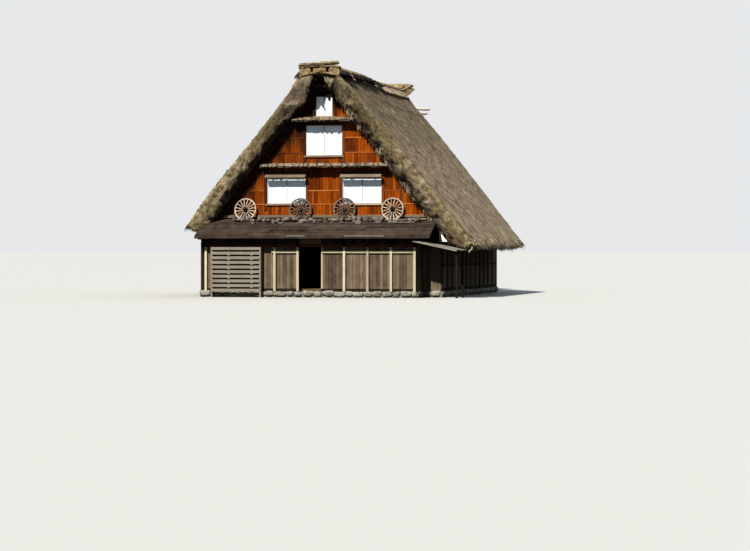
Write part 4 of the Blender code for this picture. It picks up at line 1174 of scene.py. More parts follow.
def side_fringe(rng, count):
    """Short straw that hangs from both long edges of the mat."""
    side = rng.choice([-1.0, 1.0], count)
    y = rng.uniform(RIDGE_FRONT - 0.02, RIDGE_BACK + 0.1, count)
    root = np.stack([side * (mat_half(y) + rng.uniform(-0.06, 0.03, count)), y, mat_top(0.78, y)], -1)
    root[:, 2] -= rng.uniform(0.0, 0.09, count)
    along = np.stack([side * 0.72, rng.normal(0, 0.20, count), -np.ones(count)], -1)
    ragged = 0.5 + 0.5 * noise(np.stack([side, y, y * 0], -1), (3.0, 2.4, 1.0), 14)
    length = rng.uniform(0.05, 0.10, count) + 0.10 * ragged**2
    return wisps(rng, root, along, slope_up(side), length, (0.014, 0.040), (0.01, 0.04), (0.008, 0.020))


def side_cover(rng, count):
    """Old straw over the ridge's long sides, from under the mat onto the slopes."""
    side = rng.choice([-1.0, 1.0], count)
    y = rng.uniform(RIDGE_FRONT + 0.05, VERGE_Y - 0.1, count)
    fall = rng.uniform(0.02, 0.30, count)
    x = 0.75 + 0.95 * fall
    root = np.stack([side * x, y, mat_top(0.85, y) - 0.06 - fall], -1)
    along = np.stack([side * 0.79, 0.2 + rng.normal(0, 0.12, count), -np.ones(count)], -1)
    up = slope_up(side)
    return wisps(rng, root, along, up, (0.14, 0.34), (0.020, 0.050), (-0.01, 0.02), (0.008, 0.022))


def block_fringe(rng, count):
    """Straw that hangs from the lower edge and both sides of the ridge's front end."""
    side = rng.choice([-1.0, 1.0], count)
    x = side * CAP_HALF * np.sqrt(rng.uniform(0, 1, count))
    arch = CAP_ARCH * (1 - (x / CAP_HALF) ** 2)
    at_side = smooth((np.abs(x) - 0.74) / 0.1)
    z = SEAT_Z + arch + rng.uniform(-0.02, 0.05, count) + at_side * rng.uniform(0.0, 0.26, count)
    root = np.stack([x, RIDGE_FRONT - rng.uniform(-0.05, 0.02, count), z], -1)
    sideways = side * 0.75 + rng.normal(0, 0.2, count)
    along = np.stack([sideways, np.full(count, -0.05), -np.ones(count)], -1)
    length = rng.uniform(0.05, 0.14, count) + 0.12 * at_side
    return wisps(rng, root, along, FORWARD, length, (0.014, 0.036), (0.0, 0.015), (0.006, 0.016))


def tail_fan(rng, count):
    """Twigs that splay up and out of the ridge's back end."""
    start = rng.uniform(-0.8, 0.8, count)
    y = rng.uniform(RIDGE_BACK - 0.5, RIDGE_BACK + 0.12, count)
    root = np.stack([start, y, mat_top(start, y) - rng.uniform(0.0, 0.14, count)], -1)
    sideways = start * 0.25 + rng.normal(0, 0.15, count)
    along = np.stack([sideways, np.ones(count), rng.uniform(-0.25, 0.22, count)], -1)
    return wisps(rng, root, along, UPWARD, (0.12, 0.34), (0.016, 0.040), (0.0, 0.02), (0.008, 0.022))


def front_bundle(rng, count):
    """A bundle of twigs across the ridge's front end, frayed at both ends.

    Twigs fill a flat round section, which narrows towards the left end, and the whole
    rises to the right."""
    angle = rng.uniform(0, 2 * np.pi, count)
    size = np.sqrt(rng.uniform(0, 1, count))
    start = rng.uniform(-0.96, 0.40, count)
    stop = np.minimum(start + rng.uniform(0.35, 0.9, count), rng.uniform(0.66, 0.86, count))
    flip = rng.random(count) < 0.5
    start, stop = np.where(flip, stop, start), np.where(flip, start, stop)
    taper = 0.35 + 0.65 * smooth((start + 1.0) / 0.8)
    cy = RIDGE_FRONT + 0.05 + 0.10 * size * np.cos(angle)
    cz = 10.075 + 0.055 * start + 0.078 * taper * size * np.sin(angle)
    root = np.stack([start, cy, cz], -1)
    tip = np.stack([stop, cy + rng.normal(0, 0.03, count), cz + 0.055 * (stop - start)], -1)
    along = tip + rng.normal(0, 0.018, (count, 3)) - root
    length = np.linalg.norm(along, axis=1)
    up = [0.0, -0.5, 0.85]
    return wisps(rng, root, along, up, length, (0.016, 0.036), (-0.004, 0.014), (0.008, 0.022))


# Front end, back end and length of each patch of hanging bark and painted shade
BARK_PATCHES = ((-6.78, -5.50, 0.30), (-4.75, -3.1, 0.26), (-2.8, -0.9, 0.18), (-0.4, 0.8, 0.08))


def hanging_bark_and_shade(rng):
    """Black strips that show from under the mat's fringe in a few patches: dark bark, and painted shade
    under the mat's edge.

    A patch is longest near its middle. The left side has none at the very front."""
    parts = []
    for side, (y_low, y_high, long) in product((-1.0, 1.0), BARK_PATCHES):
        if side < 0 and y_low < -5:
            continue
        count = int(70 * (y_high - y_low))
        y = rng.uniform(y_low, y_high, count)
        inset = 1 - np.abs(y - (y_low + y_high) / 2) / (y_high - y_low) * 1.5
        sides = np.full(count, side)
        fall = rng.uniform(0.09, 0.24, count)
        out = 0.80 + 0.95 * fall + rng.uniform(0.0, 0.05, count)
        root = np.stack([sides * out, y, SEAT_Z + 0.33 - fall - ridge_drop(y)], -1)
        along = np.stack([sides * 0.79, rng.normal(0.15, 0.30, count), -np.ones(count)], -1)
        length = (0.10 + long * rng.uniform(0.4, 1.1, count)) * np.clip(inset + 0.5, 0.4, 1)
        up = slope_up(sides)
        parts.append(wisps(rng, root, along, up, length, (0.05, 0.14), (0.01, 0.04), (0.02, 0.04)))
    return join(parts)


def build_ridge_twigs():
    """Loose twigs and straw of the ridge, each kind laid by its own function."""
    rng = np.random.default_rng(77)
    kinds = (
        ("ridge_twigs", cross_twigs, 5200, TWIGS),
        ("ridge_fringe", side_fringe, 9000, RIDGE_FRINGE),
        ("ridge_tail", tail_fan, 700, TWIGS),
        ("ridge_front_bundle", front_bundle, 1700, FRONT_TWIGS),
        ("ridge_block_fringe", block_fringe, 900, RIDGE_FRINGE),
    )
    for name, maker, count, material in kinds:
        made = maker(rng, count)
        wisp_piece(name, made, material, "ridge_thatch", rng.uniform(0, 1, count))
    count = 7000
    made = side_cover(rng, count)
    marks = {"moss": 0.0, "smoke": 0.0}
    wisp_piece("ridge_cover", made, FRINGE, "old_thatch", rng.uniform(0, 1, count), marks)
    made = hanging_bark_and_shade(rng)
    wisp_piece("ridge_bark_and_shade", made, DARK_BARK_AND_SHADE, "old_thatch", rng.uniform(0, 1, len(made[0]) // WISP_POINTS))


def rod(name, start, end, radius, material, slot):
    """A straight round pole whose radius wavers by a slow noise and draws in at its ends."""
    start, end = np.asarray(start, float), np.asarray(end, float)
    axis = (end - start) / np.linalg.norm(end - start)
    across = np.cross(axis, [0.0, 0.3, 1.0])
    across /= np.linalg.norm(across)
    line = start + np.linspace(0, 1, 15)[:, None] * (end - start)
    swell = radius * (1 + 0.12 * noise(line, 2.5, 15))
    swell[[0, -1]] *= 0.85
    points, faces = pole(line, swell, across, np.cross(axis, across))
    return piece(name, points, faces, material, slot, np.full(len(points), 0.5), crease=50)


def build_ridge_poles():
    """Poles tied across under the ridge ends, and the straw tongue beside the front one."""
    y, z = -GABLE_Y - 0.26, 9.15
    rod("collar_pole_front", (-0.52, y, z), (0.34, y, 9.17), 0.04, POST_WOOD, "dark_wood")
    rod("collar_pole_back", (-0.5, -y, z), (0.5, -y, z), 0.04, POST_WOOD, "dark_wood")
    for number, x in ((1, -0.40), (2, 0.09)):
        start, stop = (x - 0.06, y, z), (x + 0.06, y, 9.155)
        rod(f"pole_tie_{number}", start, stop, 0.055, SILL_WOOD, "pale_boards")
    for number, z, reach in ((1, 8.82, 0.54), (2, 8.62, 0.26)):
        x = half_out(z)
        start, stop = (x - 0.25, VERGE_Y + 0.10, z + 0.02), (x + reach, VERGE_Y + 0.16, z - 0.01)
        rod(f"verge_pole_{number}", start, stop, 0.070, POLE_WOOD, "pale_boards")
    rng = np.random.default_rng(90)
    count = 900
    share = rng.uniform(0, 1, count)
    level = rng.uniform(0, 1, count) ** 1.4
    left, right = 0.16 + 0.22 * level, 0.72 - 0.24 * level
    x = left + (right - left) * share
    root = np.stack([x, rng.uniform(-6.76, -6.50, count), 9.54 - 0.45 * level], -1)
    tongue_tip = np.array([0.42, -6.66, 8.84])
    along = tongue_tip - root
    size = np.linalg.norm(along, axis=1) * rng.uniform(0.45, 1.05, count)
    along = along + rng.normal(0, 0.08, (count, 3))
    length = size * rng.uniform(0.7, 1.0, count)
    made = wisps(rng, root, along, FORWARD, length, (0.016, 0.040), (-0.01, 0.02), (0.006, 0.018))
    marks = {"moss": 0.0, "smoke": 0.10}
    wisp_piece("straw_tongue", made, FRINGE, "ridge_thatch", rng.uniform(0, 1, count), marks)


# Gables

# Heights at which the tiers of boards of each storey start and end
LOWER_TIERS = (3.56, 4.06, 4.65, 5.66)
MIDDLE_TIERS = (5.78, 6.30, 6.95, 7.66)
UPPER_TIERS = (7.80, 9.06)

# Ends along x and z of the window openings; the lower storey has one on each side
LOWER_HOLE = (0.82, 2.56, 4.0597, 5.19)
MIDDLE_HOLE = (-0.81, 0.81, 6.15, 7.47)
UPPER_HOLE = (-0.37, 0.37, 7.86, 8.72)
BOARD_WIDE = 0.142
SOLE_X = 4.55
SOLE_Z = (3.44, 3.56)

# Half width of the sides of a paper screen's frame
FRAME_WIDE = 0.035


def holes_of(storey):
    """Window openings of a storey as rows of x and z ends."""
    near, far, low, high = LOWER_HOLE
    if storey == "lower":
        return [(-far, -near, low, high), (near, far, low, high)]
    return [MIDDLE_HOLE if storey == "middle" else UPPER_HOLE]


def split_by_holes(x0, x1, z0, z1, holes):
    """Parts of an upright strip that are left over beside windows, as z ends."""
    spans = [(z0, z1)]
    for left, right, low, high in holes:
        if x1 > left and x0 < right:
            cut = []
            for a, b in spans:
                if high <= a or low >= b:
                    cut.append((a, b))
                    continue
                if low > a:
                    cut.append((a, low))
                if high < b:
                    cut.append((high, b))
            spans = cut
    return [(a, b) for a, b in spans if b - a > 0.03]


def trimmed(points):
    """Points held below the rafters' inner edge."""
    points[..., 2] = np.minimum(points[..., 2], gable_top(points[..., 0]) - 0.004)
    return points


def before_gable(end, x0, near, z0, x1, far, z1):
    """Corners of a box that stands from `near` to `far` out of a gable's plane."""
    return (x0, end * (GABLE_Y + near), z0, x1, end * (GABLE_Y + far), z1)


def board_rows(tiers, holes, end, rng):
    """Upright boards of one storey: rows of box corners.

    Each tier stands a little further out than the one below it, and each board has its
    own small width, thickness and gap."""
    rows = []
    for number, (z0, z1) in enumerate(zip(tiers, tiers[1:])):
        reach = half_gable(z0)
        count = int(round(2 * reach / BOARD_WIDE))
        edges = np.linspace(-reach, reach, count + 1)
        edges[1:-1] += rng.uniform(-0.02, 0.02, count - 1)
        for x0, x1 in zip(edges, edges[1:]):
            inner = min(abs(x0), abs(x1))
            if inner > reach - 0.03 or gable_top(inner) < z0 + 0.05:
                continue
            gap = rng.uniform(0.002, 0.006)
            out = 0.010 + 0.006 * number + rng.uniform(0, 0.006)
            top = min(z1, float(gable_top(inner)))
            for a, b in split_by_holes(x0 + 0.01, x1 - 0.01, z0, top, holes):
                rows.append(before_gable(end, x0 + gap, 0.0, a, x1 - gap, out, b))
    return rows


def painted_shade_cover(points):
    """Share of painted shade on gable boards: the left verge's shadow beside the left rafter, and the
    ridge's shadow in the peak.

    Left boards darken towards the rafter, and more so above; in the top storey only the
    lower part to the right of the window stays bright."""
    x, z = points[:, 0], points[:, 2]
    left = smooth((0.05 - x) / 0.1)
    near = smooth((0.66 - (half_gable(z) - np.abs(x))) / 0.36)
    middle = smooth((z - 5.7) / 0.05) * (0.20 + 0.52 * smooth((z - 6.3) / 0.8))
    peak = smooth((z - 7.7) / 0.05)
    top = peak * np.where(x < 0.3, 0.9, 0.9 * smooth((z - 7.9) / 0.7))
    share = np.maximum(left * np.maximum(0.9 * near, middle), top)
    return {"soot": share}


def window_trim(holes, end, sills, frames, posts):
    """Sill, posts and head round each window of a storey, and frames of its two screens.

    The left screen slides in front of the right one."""
    for left, right, low, high in holes:
        sills.append(before_gable(end, left - 0.10, -0.02, low - 0.085, right + 0.10, 0.075, low - 0.005))
        for x0, x1 in ((left - 0.135, left - 0.005), (right + 0.005, right + 0.135)):
            posts.append(before_gable(end, x0, -0.02, low - 0.30, x1, 0.045, high + 0.16))
        posts.append(before_gable(end, left, -0.02, high - 0.01, right, 0.04, high + 0.07))
        middle = (left + right) / 2
        screen = end * (GABLE_Y - 0.03)
        foot, top = low + 0.004, high - 0.004
        for a, b in ((left, middle), (middle, right)):
            out = screen + (end * 0.012 if a == left else 0.0) + end * 0.018
            inner_a, inner_b = a + FRAME_WIDE, b - FRAME_WIDE
            frames.append((a + 0.004, screen, foot, inner_a, out, top))
            frames.append((inner_b, screen, foot, b - 0.004, out, top))
            frames.append((inner_a, screen, foot, inner_b, out, low + 0.055))
            frames.append((inner_a, screen, high - 0.05, inner_b, out, top))


def build_gable(label, end):
    """Boards, rails, posts, window trim and sole of one gable."""
    rng = np.random.default_rng(100 + end)
    boards, rails, posts, sills, frames = [], [], [], [], []
    for storey, tiers in (("lower", LOWER_TIERS), ("middle", MIDDLE_TIERS), ("upper", UPPER_TIERS)):
        holes = holes_of(storey)
        boards += board_rows(tiers, holes, end, rng)
        for z in tiers[1:-1]:
            reach = half_gable(z) - 0.02
            stops = sorted([-reach, reach] + [v for h in holes if h[2] < z < h[3] for v in h[:2]])
            for x0, x1 in zip(stops[::2], stops[1::2]):
                rails.append(before_gable(end, x0, 0.0, z - 0.055, x1, 0.032, z - 0.002))
        reach = half_gable(tiers[0]) - 0.01
        rails.append(before_gable(end, -reach, 0.0, tiers[0] - 0.01, reach, 0.04, tiers[0] + 0.06))
        window_trim(holes, end, sills, frames, posts)
    if end < 0:
        posts.append(before_gable(end, 0.18, -0.03, 8.56, 0.265, 0.03, 8.76))
    for x in (-3.42, 3.42):
        posts.append(before_gable(end, x - 0.06, 0.0, 3.56, x + 0.06, 0.036, 5.6))
    # Boards, rails and posts carry painted shade of the left verge and the ridge
    box_piece(f"gable_boards_{label}", boards, GABLE_BOARDS, "gable_boards", 0.003, trimmed, painted_shade_cover)
    box_piece(f"gable_rails_{label}", rails, RAIL_WOOD, "gable_boards", 0.004, trimmed, painted_shade_cover)
    box_piece(f"gable_posts_{label}", posts, POST_WOOD, "dark_wood", 0.006, trimmed, painted_shade_cover)
    box_piece(f"window_sills_{label}", sills, SILL_WOOD, "pale_boards", 0.006)
    box_piece(f"screen_frames_{label}", frames, SCREEN_FRAME, "shoji_paper", 0.003)
    sole = [before_gable(end, -SOLE_X, -0.02, SOLE_Z[0], SOLE_X, 0.07, SOLE_Z[1])]
    box_piece(f"gable_sole_{label}", sole, BARK, "pale_boards", 0.008)


def build_gable_walls(label, end):
    """Wall behind the boards of the lowest storey: upright slabs beside the windows, and
    a strip below them from side wall to side wall."""
    low_z = 2.8063
    rows = []
    edges = [-4.95, -2.56, -0.82, 0.82, 2.56, 4.95]
    for x0, x1 in zip(edges, edges[1:]):
        open_x = (x0 + 0.01, x1 - 0.01)
        for a, b in split_by_holes(*open_x, SIDE_TOP_Z, LOW_STOREY_TOP - 0.001, holes_of("lower")):
            rows.append(before_gable(end, x0, -GABLE_WALL, a, x1, -0.001, b))
    strip_right = 5.1997 if end < 0 else 5.0597
    rows.append(before_gable(end, -5.0597, -GABLE_WALL, low_z, strip_right, -0.001, SIDE_TOP_Z))
    obj = box_piece(f"gable_wall_{label}", rows, GABLE_BACK, "gable_boards", 0.001, trimmed_wall)
    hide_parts(f"gable_{label}_lower")


def trimmed_wall(points):
    """Wall points above the side walls' top held below the rafters' inner edge."""
    top = np.minimum(points[..., 2], gable_top(points[..., 0]) - 0.001)
    points[..., 2] = np.where(points[..., 2] > SIDE_TOP_Z + 0.002, top, points[..., 2])
    return points


def along_x(amount):
    """Vectors along x from an array of amounts."""
    return np.stack([amount, np.zeros(len(amount)), np.zeros(len(amount))], -1)


def bark_boards(name, x_low, x_high, top, foot, seed):
    """Split boards side by side down a small roof, each a little out of line.

    The slope runs from the top's (y, z) down to the foot's. Every board leans along x by
    a share of its length, stands off the roof by its own lift and is a bit twisted."""
    wide, thick, skew = 0.10, 0.013, 0.30
    rng = np.random.default_rng(seed)
    count = int((x_high - x_low) / wide)
    x = np.linspace(x_low + wide / 2, x_high - wide / 2, count)
    x = x + rng.uniform(-0.2, 0.2, count) * wide
    fall = np.array([0.0, foot[0] - top[0], foot[1] - top[1]])
    run = math.hypot(fall[1], fall[2])
    down = fall / run
    up = np.cross([1.0, 0.0, 0.0], down)
    up = up if up[2] > 0 else -up
    lift = rng.uniform(0.4, 1.6, count) * thick
    more = rng.uniform(-0.05, 0.08, count)
    across = rng.uniform(0.5, 0.62, count) * wide
    half = np.stack([across, (run + more) / 2, np.full(count, thick / 2)], -1)
    centre = along_x(x)
    centre[:, 1:] = (top[0] + foot[0]) / 2, (top[1] + foot[1]) / 2
    centre = centre + down * (more / 2)[:, None] + up * (thick / 2 + lift)[:, None]
    y_axis = down + along_x(skew + rng.normal(0, 0.05, count))
    normal = up + along_x(rng.normal(0, 0.06, count))
    turn = turns(np.cross(y_axis, normal), y_axis)
    return box_piece(name, (centre, half, turn), BARK, "grey_bark", 0.003)


# Upper and lower board of a window's hood: where they start and end, out of the gable's
# plane and above the opening
HOOD_BOARDS = ((0.0, 0.150, 0.26, 0.165), (0.192, 0.345, 0.118, -0.015))

# Tone of each hood board, and half its thickness
HOOD_TONES = (0.15, 0.35, 0.25, 0.45)
HOOD_HALF = 0.025


def build_small_roofs(label, end):
    """Split bark boards on the roofs between storeys, and two-board hoods over windows."""
    for storey, z, seed in (("lower", 5.80, 3), ("upper", 7.80, 4)):
        low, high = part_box(f"pent_roof_{label}_{storey}")
        top = (end * (GABLE_Y + 0.02), z + 0.004)
        foot = (end * (GABLE_Y + 0.45), z - 0.140)
        name = f"pent_bark_{label}_{storey}"
        bark_boards(name, low.x - 0.02, high.x + 0.02, top, foot, seed + end)
    parts = []
    for (left, right, _, high), (y0, y1, z0, z1) in product(holes_of("lower"), HOOD_BOARDS):
        x0, x1, z0, z1 = left - 0.05, right + 0.05, high + z0, high + z1
        centre = [(x0 + x1) / 2, end * (GABLE_Y + (y0 + y1) / 2), (z0 + z1) / 2]
        turn = turns(np.array([[1.0, 0.0, 0.0]]), np.array([[0.0, end * (y1 - y0), z1 - z0]]))
        half = [(x1 - x0) / 2, math.hypot(y1 - y0, z1 - z0) / 2, HOOD_HALF]
        parts.append(boxes([centre], [half], turn, 0.006))
    tone = np.repeat(np.array(HOOD_TONES), BOX_POINTS)
    piece(f"window_hoods_{label}", *join(parts), BARK, "grey_bark", tone, crease=30)


# Skirt roof

SKIRT_TOP = 3.40
SKIRT_SLOPE = 0.432
SKIRT_RUN = 1.75
COURSES = 11


def skirt_z(y):
    """Height of the skirt roof's upper face at a distance from mid length."""
    return SKIRT_TOP - SKIRT_SLOPE * (np.abs(y) - GABLE_Y)


def skirt_courses(rng, end, left, right):
    """Centres, half sizes and downward directions of the lapped boards of a skirt roof.

    Each level course overlaps the next one, and stops beside the thatch further up."""
    centre, half, down = [], [], []
    step = SKIRT_RUN / COURSES
    for number in range(COURSES):
        near = GABLE_Y + SKIRT_RUN - step * (number + 1)
        far = near + step * 1.18
        reach_left, reach_right = left, right
        if near < VERGE_Y + 0.05:
            inner = half_out(skirt_z(near + step / 2)) - UNDER_RUN - 0.05
            reach_left, reach_right = min(left, inner), min(right, inner)
        y1 = min(far, GABLE_Y + SKIRT_RUN + 0.025)
        z0, z1 = skirt_z(near) + 0.005, skirt_z(y1) + 0.026
        x = -reach_left
        while x < reach_right - 0.05:
            end_x = min(x + rng.uniform(1.6, 3.6), reach_right)
            if reach_right - end_x < 0.5:
                end_x = reach_right
            z = (z0 + z1) / 2 + rng.uniform(0, 0.004)
            centre.append([(x + end_x) / 2, end * (near + y1) / 2, z])
            half.append([(end_x - x) / 2 - 0.002, math.hypot(y1 - near, z1 - z0) / 2, 0.008])
            down.append([0.0, end * (y1 - near), z1 - z0])
            x = end_x
    return np.array(centre), np.array(half), np.array(down)


def build_skirt(label, end, left, right):
    """Lapped boards on a skirt roof, its edge board, the rafter ends under it, and laths."""
    centre, half, down = skirt_courses(np.random.default_rng(130 + end), end, left, right)
    turn = turns(np.tile([1.0, 0.0, 0.0], (len(down), 1)), down)
    box_piece(f"skirt_courses_{label}", (centre, half, turn), SKIRT, "skirt_boards", 0.003)
    y = GABLE_Y + SKIRT_RUN
    z = float(skirt_z(y))
    rows = [(-left, end * (y - 0.01), z - 0.11, right, end * (y + 0.03), z + 0.01)]
    for x in np.arange(-left + 0.1, right - 0.05, 0.47):
        rows.append((x, end * (AISLE_Y + 0.06), z - 0.15, x + 0.07, end * (y - 0.14), z - 0.07))
    box_piece(f"skirt_edge_{label}", rows, SKIRT, "skirt_boards", 0.005)
    rows = []
    for x0, x1 in ((-1.24, -0.45), (1.31, 3.07)):
        rows.append((x0, end * (y + 0.012), z - 0.022, x1, end * (y + 0.036), z + 0.014))
    box_piece(f"skirt_edge_laths_{label}", rows, PALE_BOARDS, "pale_boards", 0.004)


def pebble(centre, size, seed, rings, around):
    """A field stone: a closed ball of latitude rings, squared off and pushed by noise."""
    t = np.linspace(0, np.pi, rings + 1)[1:-1]
    ball, quads, fans = turned(np.sin(t), np.cos(t), (1.0, -1.0), around)
    ball = np.sign(ball) * np.abs(ball) ** 0.68
    push = 1 + 0.36 * noise(ball, 1.2, seed) + 0.16 * noise(ball, 2.4, seed + 1)
    points = centre + ball * push[:, None] * np.asarray(size) / 2
    return points, quads[:, [0, 3, 2, 1]], fans[:, ::-1]


def stones(name, centres, sizes, material, seed, rings=9, around=14):
    """Many field stones as one object, each with its own tone."""
    rng = np.random.default_rng(seed)
    parts, tones = [], []
    for number, (centre, size) in enumerate(zip(centres, sizes)):
        parts.append(pebble(np.asarray(centre), size, seed + 3 * number, rings, around))
        tones.append(rng.uniform(0, 1))
    tone = np.repeat(tones, len(parts[0][0]))
    return piece(name, *join(parts), material, "field_stone", tone)


def build_stones():
    """A row of flat field stones that weighs down the skirt roof's top, and short boards."""
    rng = np.random.default_rng(150)
    centres, sizes = [], []
    x = -4.05
    while x < 4.2:
        long = rng.uniform(0.16, 0.44)
        high = rng.uniform(0.09, 0.26)
        deep = rng.uniform(0.18, 0.28)
        y = -6.22 - rng.uniform(0.02, 0.20)
        centres.append((x + long / 2, y, float(skirt_z(y)) + 0.02 + high * 0.42))
        sizes.append((long, deep, high))
        if rng.random() < 0.5:
            y -= rng.uniform(0.12, 0.20)
            centres.append((x + rng.uniform(0, long), y, float(skirt_z(y)) + 0.045))
            sizes.append((rng.uniform(0.12, 0.30), 0.15, rng.uniform(0.07, 0.13)))
        x += long * rng.uniform(0.86, 1.05) + (rng.uniform(0.02, 0.1) if rng.random() < 0.3 else 0)
    stones("skirt_stones", centres, sizes, STONE, 151)
    rows = []
    for x0, x1, y, z in ((3.35, 4.45, -6.33, 3.34), (3.25, 4.15, -6.52, 3.22), (4.1, 4.62, -6.30, 3.36)):
        rows.append((x0, y - 0.06, z, x1, y + 0.03, z + 0.035))
    box_piece("loose_boards", rows, PALE_BOARDS, "pale_boards", 0.004)


# Cart wheels

WHEEL_LEAN = math.radians(10.8)
WHEEL_R = 0.50
FELLOES = 7
SPOKES = 16

# Radius of a spoke's middle, and its half sizes
SPOKE_MIDDLE = 0.27
SPOKE_HALF = (0.185, 0.021, 0.017)

# Depth of the rim from its outer edge, half its thickness, and its chamfer
RIM_DEEP = 0.062
RIM_HALF = 0.036
RIM_CHAMFER = 0.008
HUB_SIDES = 24

# Radius and height of the hub's turned profile, from one end to the other
HUB_R = (0.03, 0.072, 0.078, 0.078, 0.10, 0.112, 0.112, 0.10, 0.078, 0.078, 0.072, 0.03, 0.028)
HUB_Z = (-0.108, -0.11, -0.10, -0.07, -0.05, -0.03, 0.03, 0.05, 0.07, 0.10, 0.11, 0.108, 0.06)


def wheel_points(local, node):
    """Wheel points from its own axes to where the solid wheel stands, leaning a little."""
    low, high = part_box(node)
    centre = np.array([(low.x + high.x) / 2, (low.y + high.y) / 2 - 0.012, (low.z + high.z) / 2])
    cos, sin = math.cos(math.pi / 2 - WHEEL_LEAN), math.sin(math.pi / 2 - WHEEL_LEAN)
    x, y, z = np.moveaxis(local, -1, 0)
    return centre + np.stack([x, y * cos - z * sin, y * sin + z * cos], -1)


def felloe(start, stop):
    """One curved piece of a wheel's rim: a chamfered square carried along an arc."""
    steps = 8
    inner, outer, half, cut = WHEEL_R - RIM_DEEP, WHEEL_R, RIM_HALF, RIM_CHAMFER
    away = np.array([inner + cut, outer - cut, outer, outer, outer - cut, inner + cut, inner, inner])
    level = np.array([-half, -half, cut - half, half - cut, half, half, half - cut, cut - half])
    a = np.linspace(start, stop, steps + 1)
    flat = np.outer(np.ones(steps + 1), level)
    points = np.stack([np.outer(np.cos(a), away), np.outer(np.sin(a), away), flat], -1)
    quads, _ = tube_faces(steps + 1, 8)
    first = np.arange(8)
    return points.reshape(-1, 3), quads[:, ::-1], np.stack([first, first[::-1] + steps * 8])


def spokes():
    """Sixteen square spokes round a wheel's hub, wider towards the rim.

    What a point stands off its spoke's middle line is scaled by its distance from the
    hub's centre."""
    angle = (np.arange(SPOKES) + 0.5) * 2 * math.pi / SPOKES
    radial = np.stack([np.cos(angle), np.sin(angle), np.zeros(SPOKES)], -1)
    turn = turns(radial, np.cross([0, 0, 1.0], radial))
    made, sides, tips = boxes(radial * SPOKE_MIDDLE, SPOKE_HALF, turn, 0.005)
    local = made.reshape(-1, 3)
    swell = np.clip(np.linalg.norm(local[:, :2], axis=1) / SPOKE_MIDDLE, 0.55, 1.25)
    ray = np.repeat(radial, BOX_POINTS, axis=0)
    line = (local * ray).sum(1)[:, None] * ray
    scale = np.stack([swell, swell, np.ones_like(swell)], -1)
    return line + (local - line) * scale, sides, tips


def build_wheels():
    """Four spoked wheels: rims of seven curved pieces, sixteen spokes and a turned hub."""
    for number in range(1, 5):
        node = f"cart_wheel_{number}"
        rng = np.random.default_rng(160 + number)
        shade, look = ("pale", WHEEL_PALE) if number in (1, 4) else ("dark", WHEEL_DARK)
        parts, tones = [], []
        start = rng.uniform(0, 1)
        for k in range(FELLOES):
            low, high = (start + m * 2 * math.pi / FELLOES for m in (k, k + 1))
            parts.append(felloe(low + 0.006, high - 0.006))
            tones.append(np.full(len(parts[-1][0]), rng.uniform(0.3, 1)))
        parts.append(spokes())
        tones.append(np.repeat(rng.uniform(0.2, 1, SPOKES), BOX_POINTS))
        parts.append(turned(HUB_R, HUB_Z, (HUB_Z[0], HUB_Z[-1]), HUB_SIDES))
        tones.append(np.zeros(len(parts[-1][0])))
        points, faces = join(parts)
        soot = np.zeros(len(points))
        # The hub is dark with grease
        soot[-len(parts[-1][0]) :] = 0.85
        tone = np.concatenate(tones)
        name, slot, marks = f"spoked_wheel_{number}", f"{shade}_wheel_wood", {"soot": soot}
        obj = piece(name, wheel_points(points, node), faces, look, slot, tone, marks, crease=35)
        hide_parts(node)


# Ground storey

# Low and high end of the boards below the lintel rail, the rail, and the boards above it
UNDER_RAIL = (0.375, 2.165)
RAIL_Z = (2.17, 2.30)
OVER_RAIL = (2.305, 2.62)

# Half width of a post's front, and of the board's gap beside it
POST_HALF = 0.056
GAP_HALF = 0.052


def upright_boards(x0, x1, z0, z1, face, out, rng, wide=0.16):
    """Upright boards side by side between two ends of a wall that faces along Y, each
    with its own thickness."""
    rows = []
    edges = np.linspace(x0, x1, max(1, int(round((x1 - x0) / wide))) + 1)
    for a, b in zip(edges, edges[1:]):
        rows.append((a + 0.003, face, z0, b - 0.003, face + out * rng.uniform(0.6, 1.0), z1))
    return rows


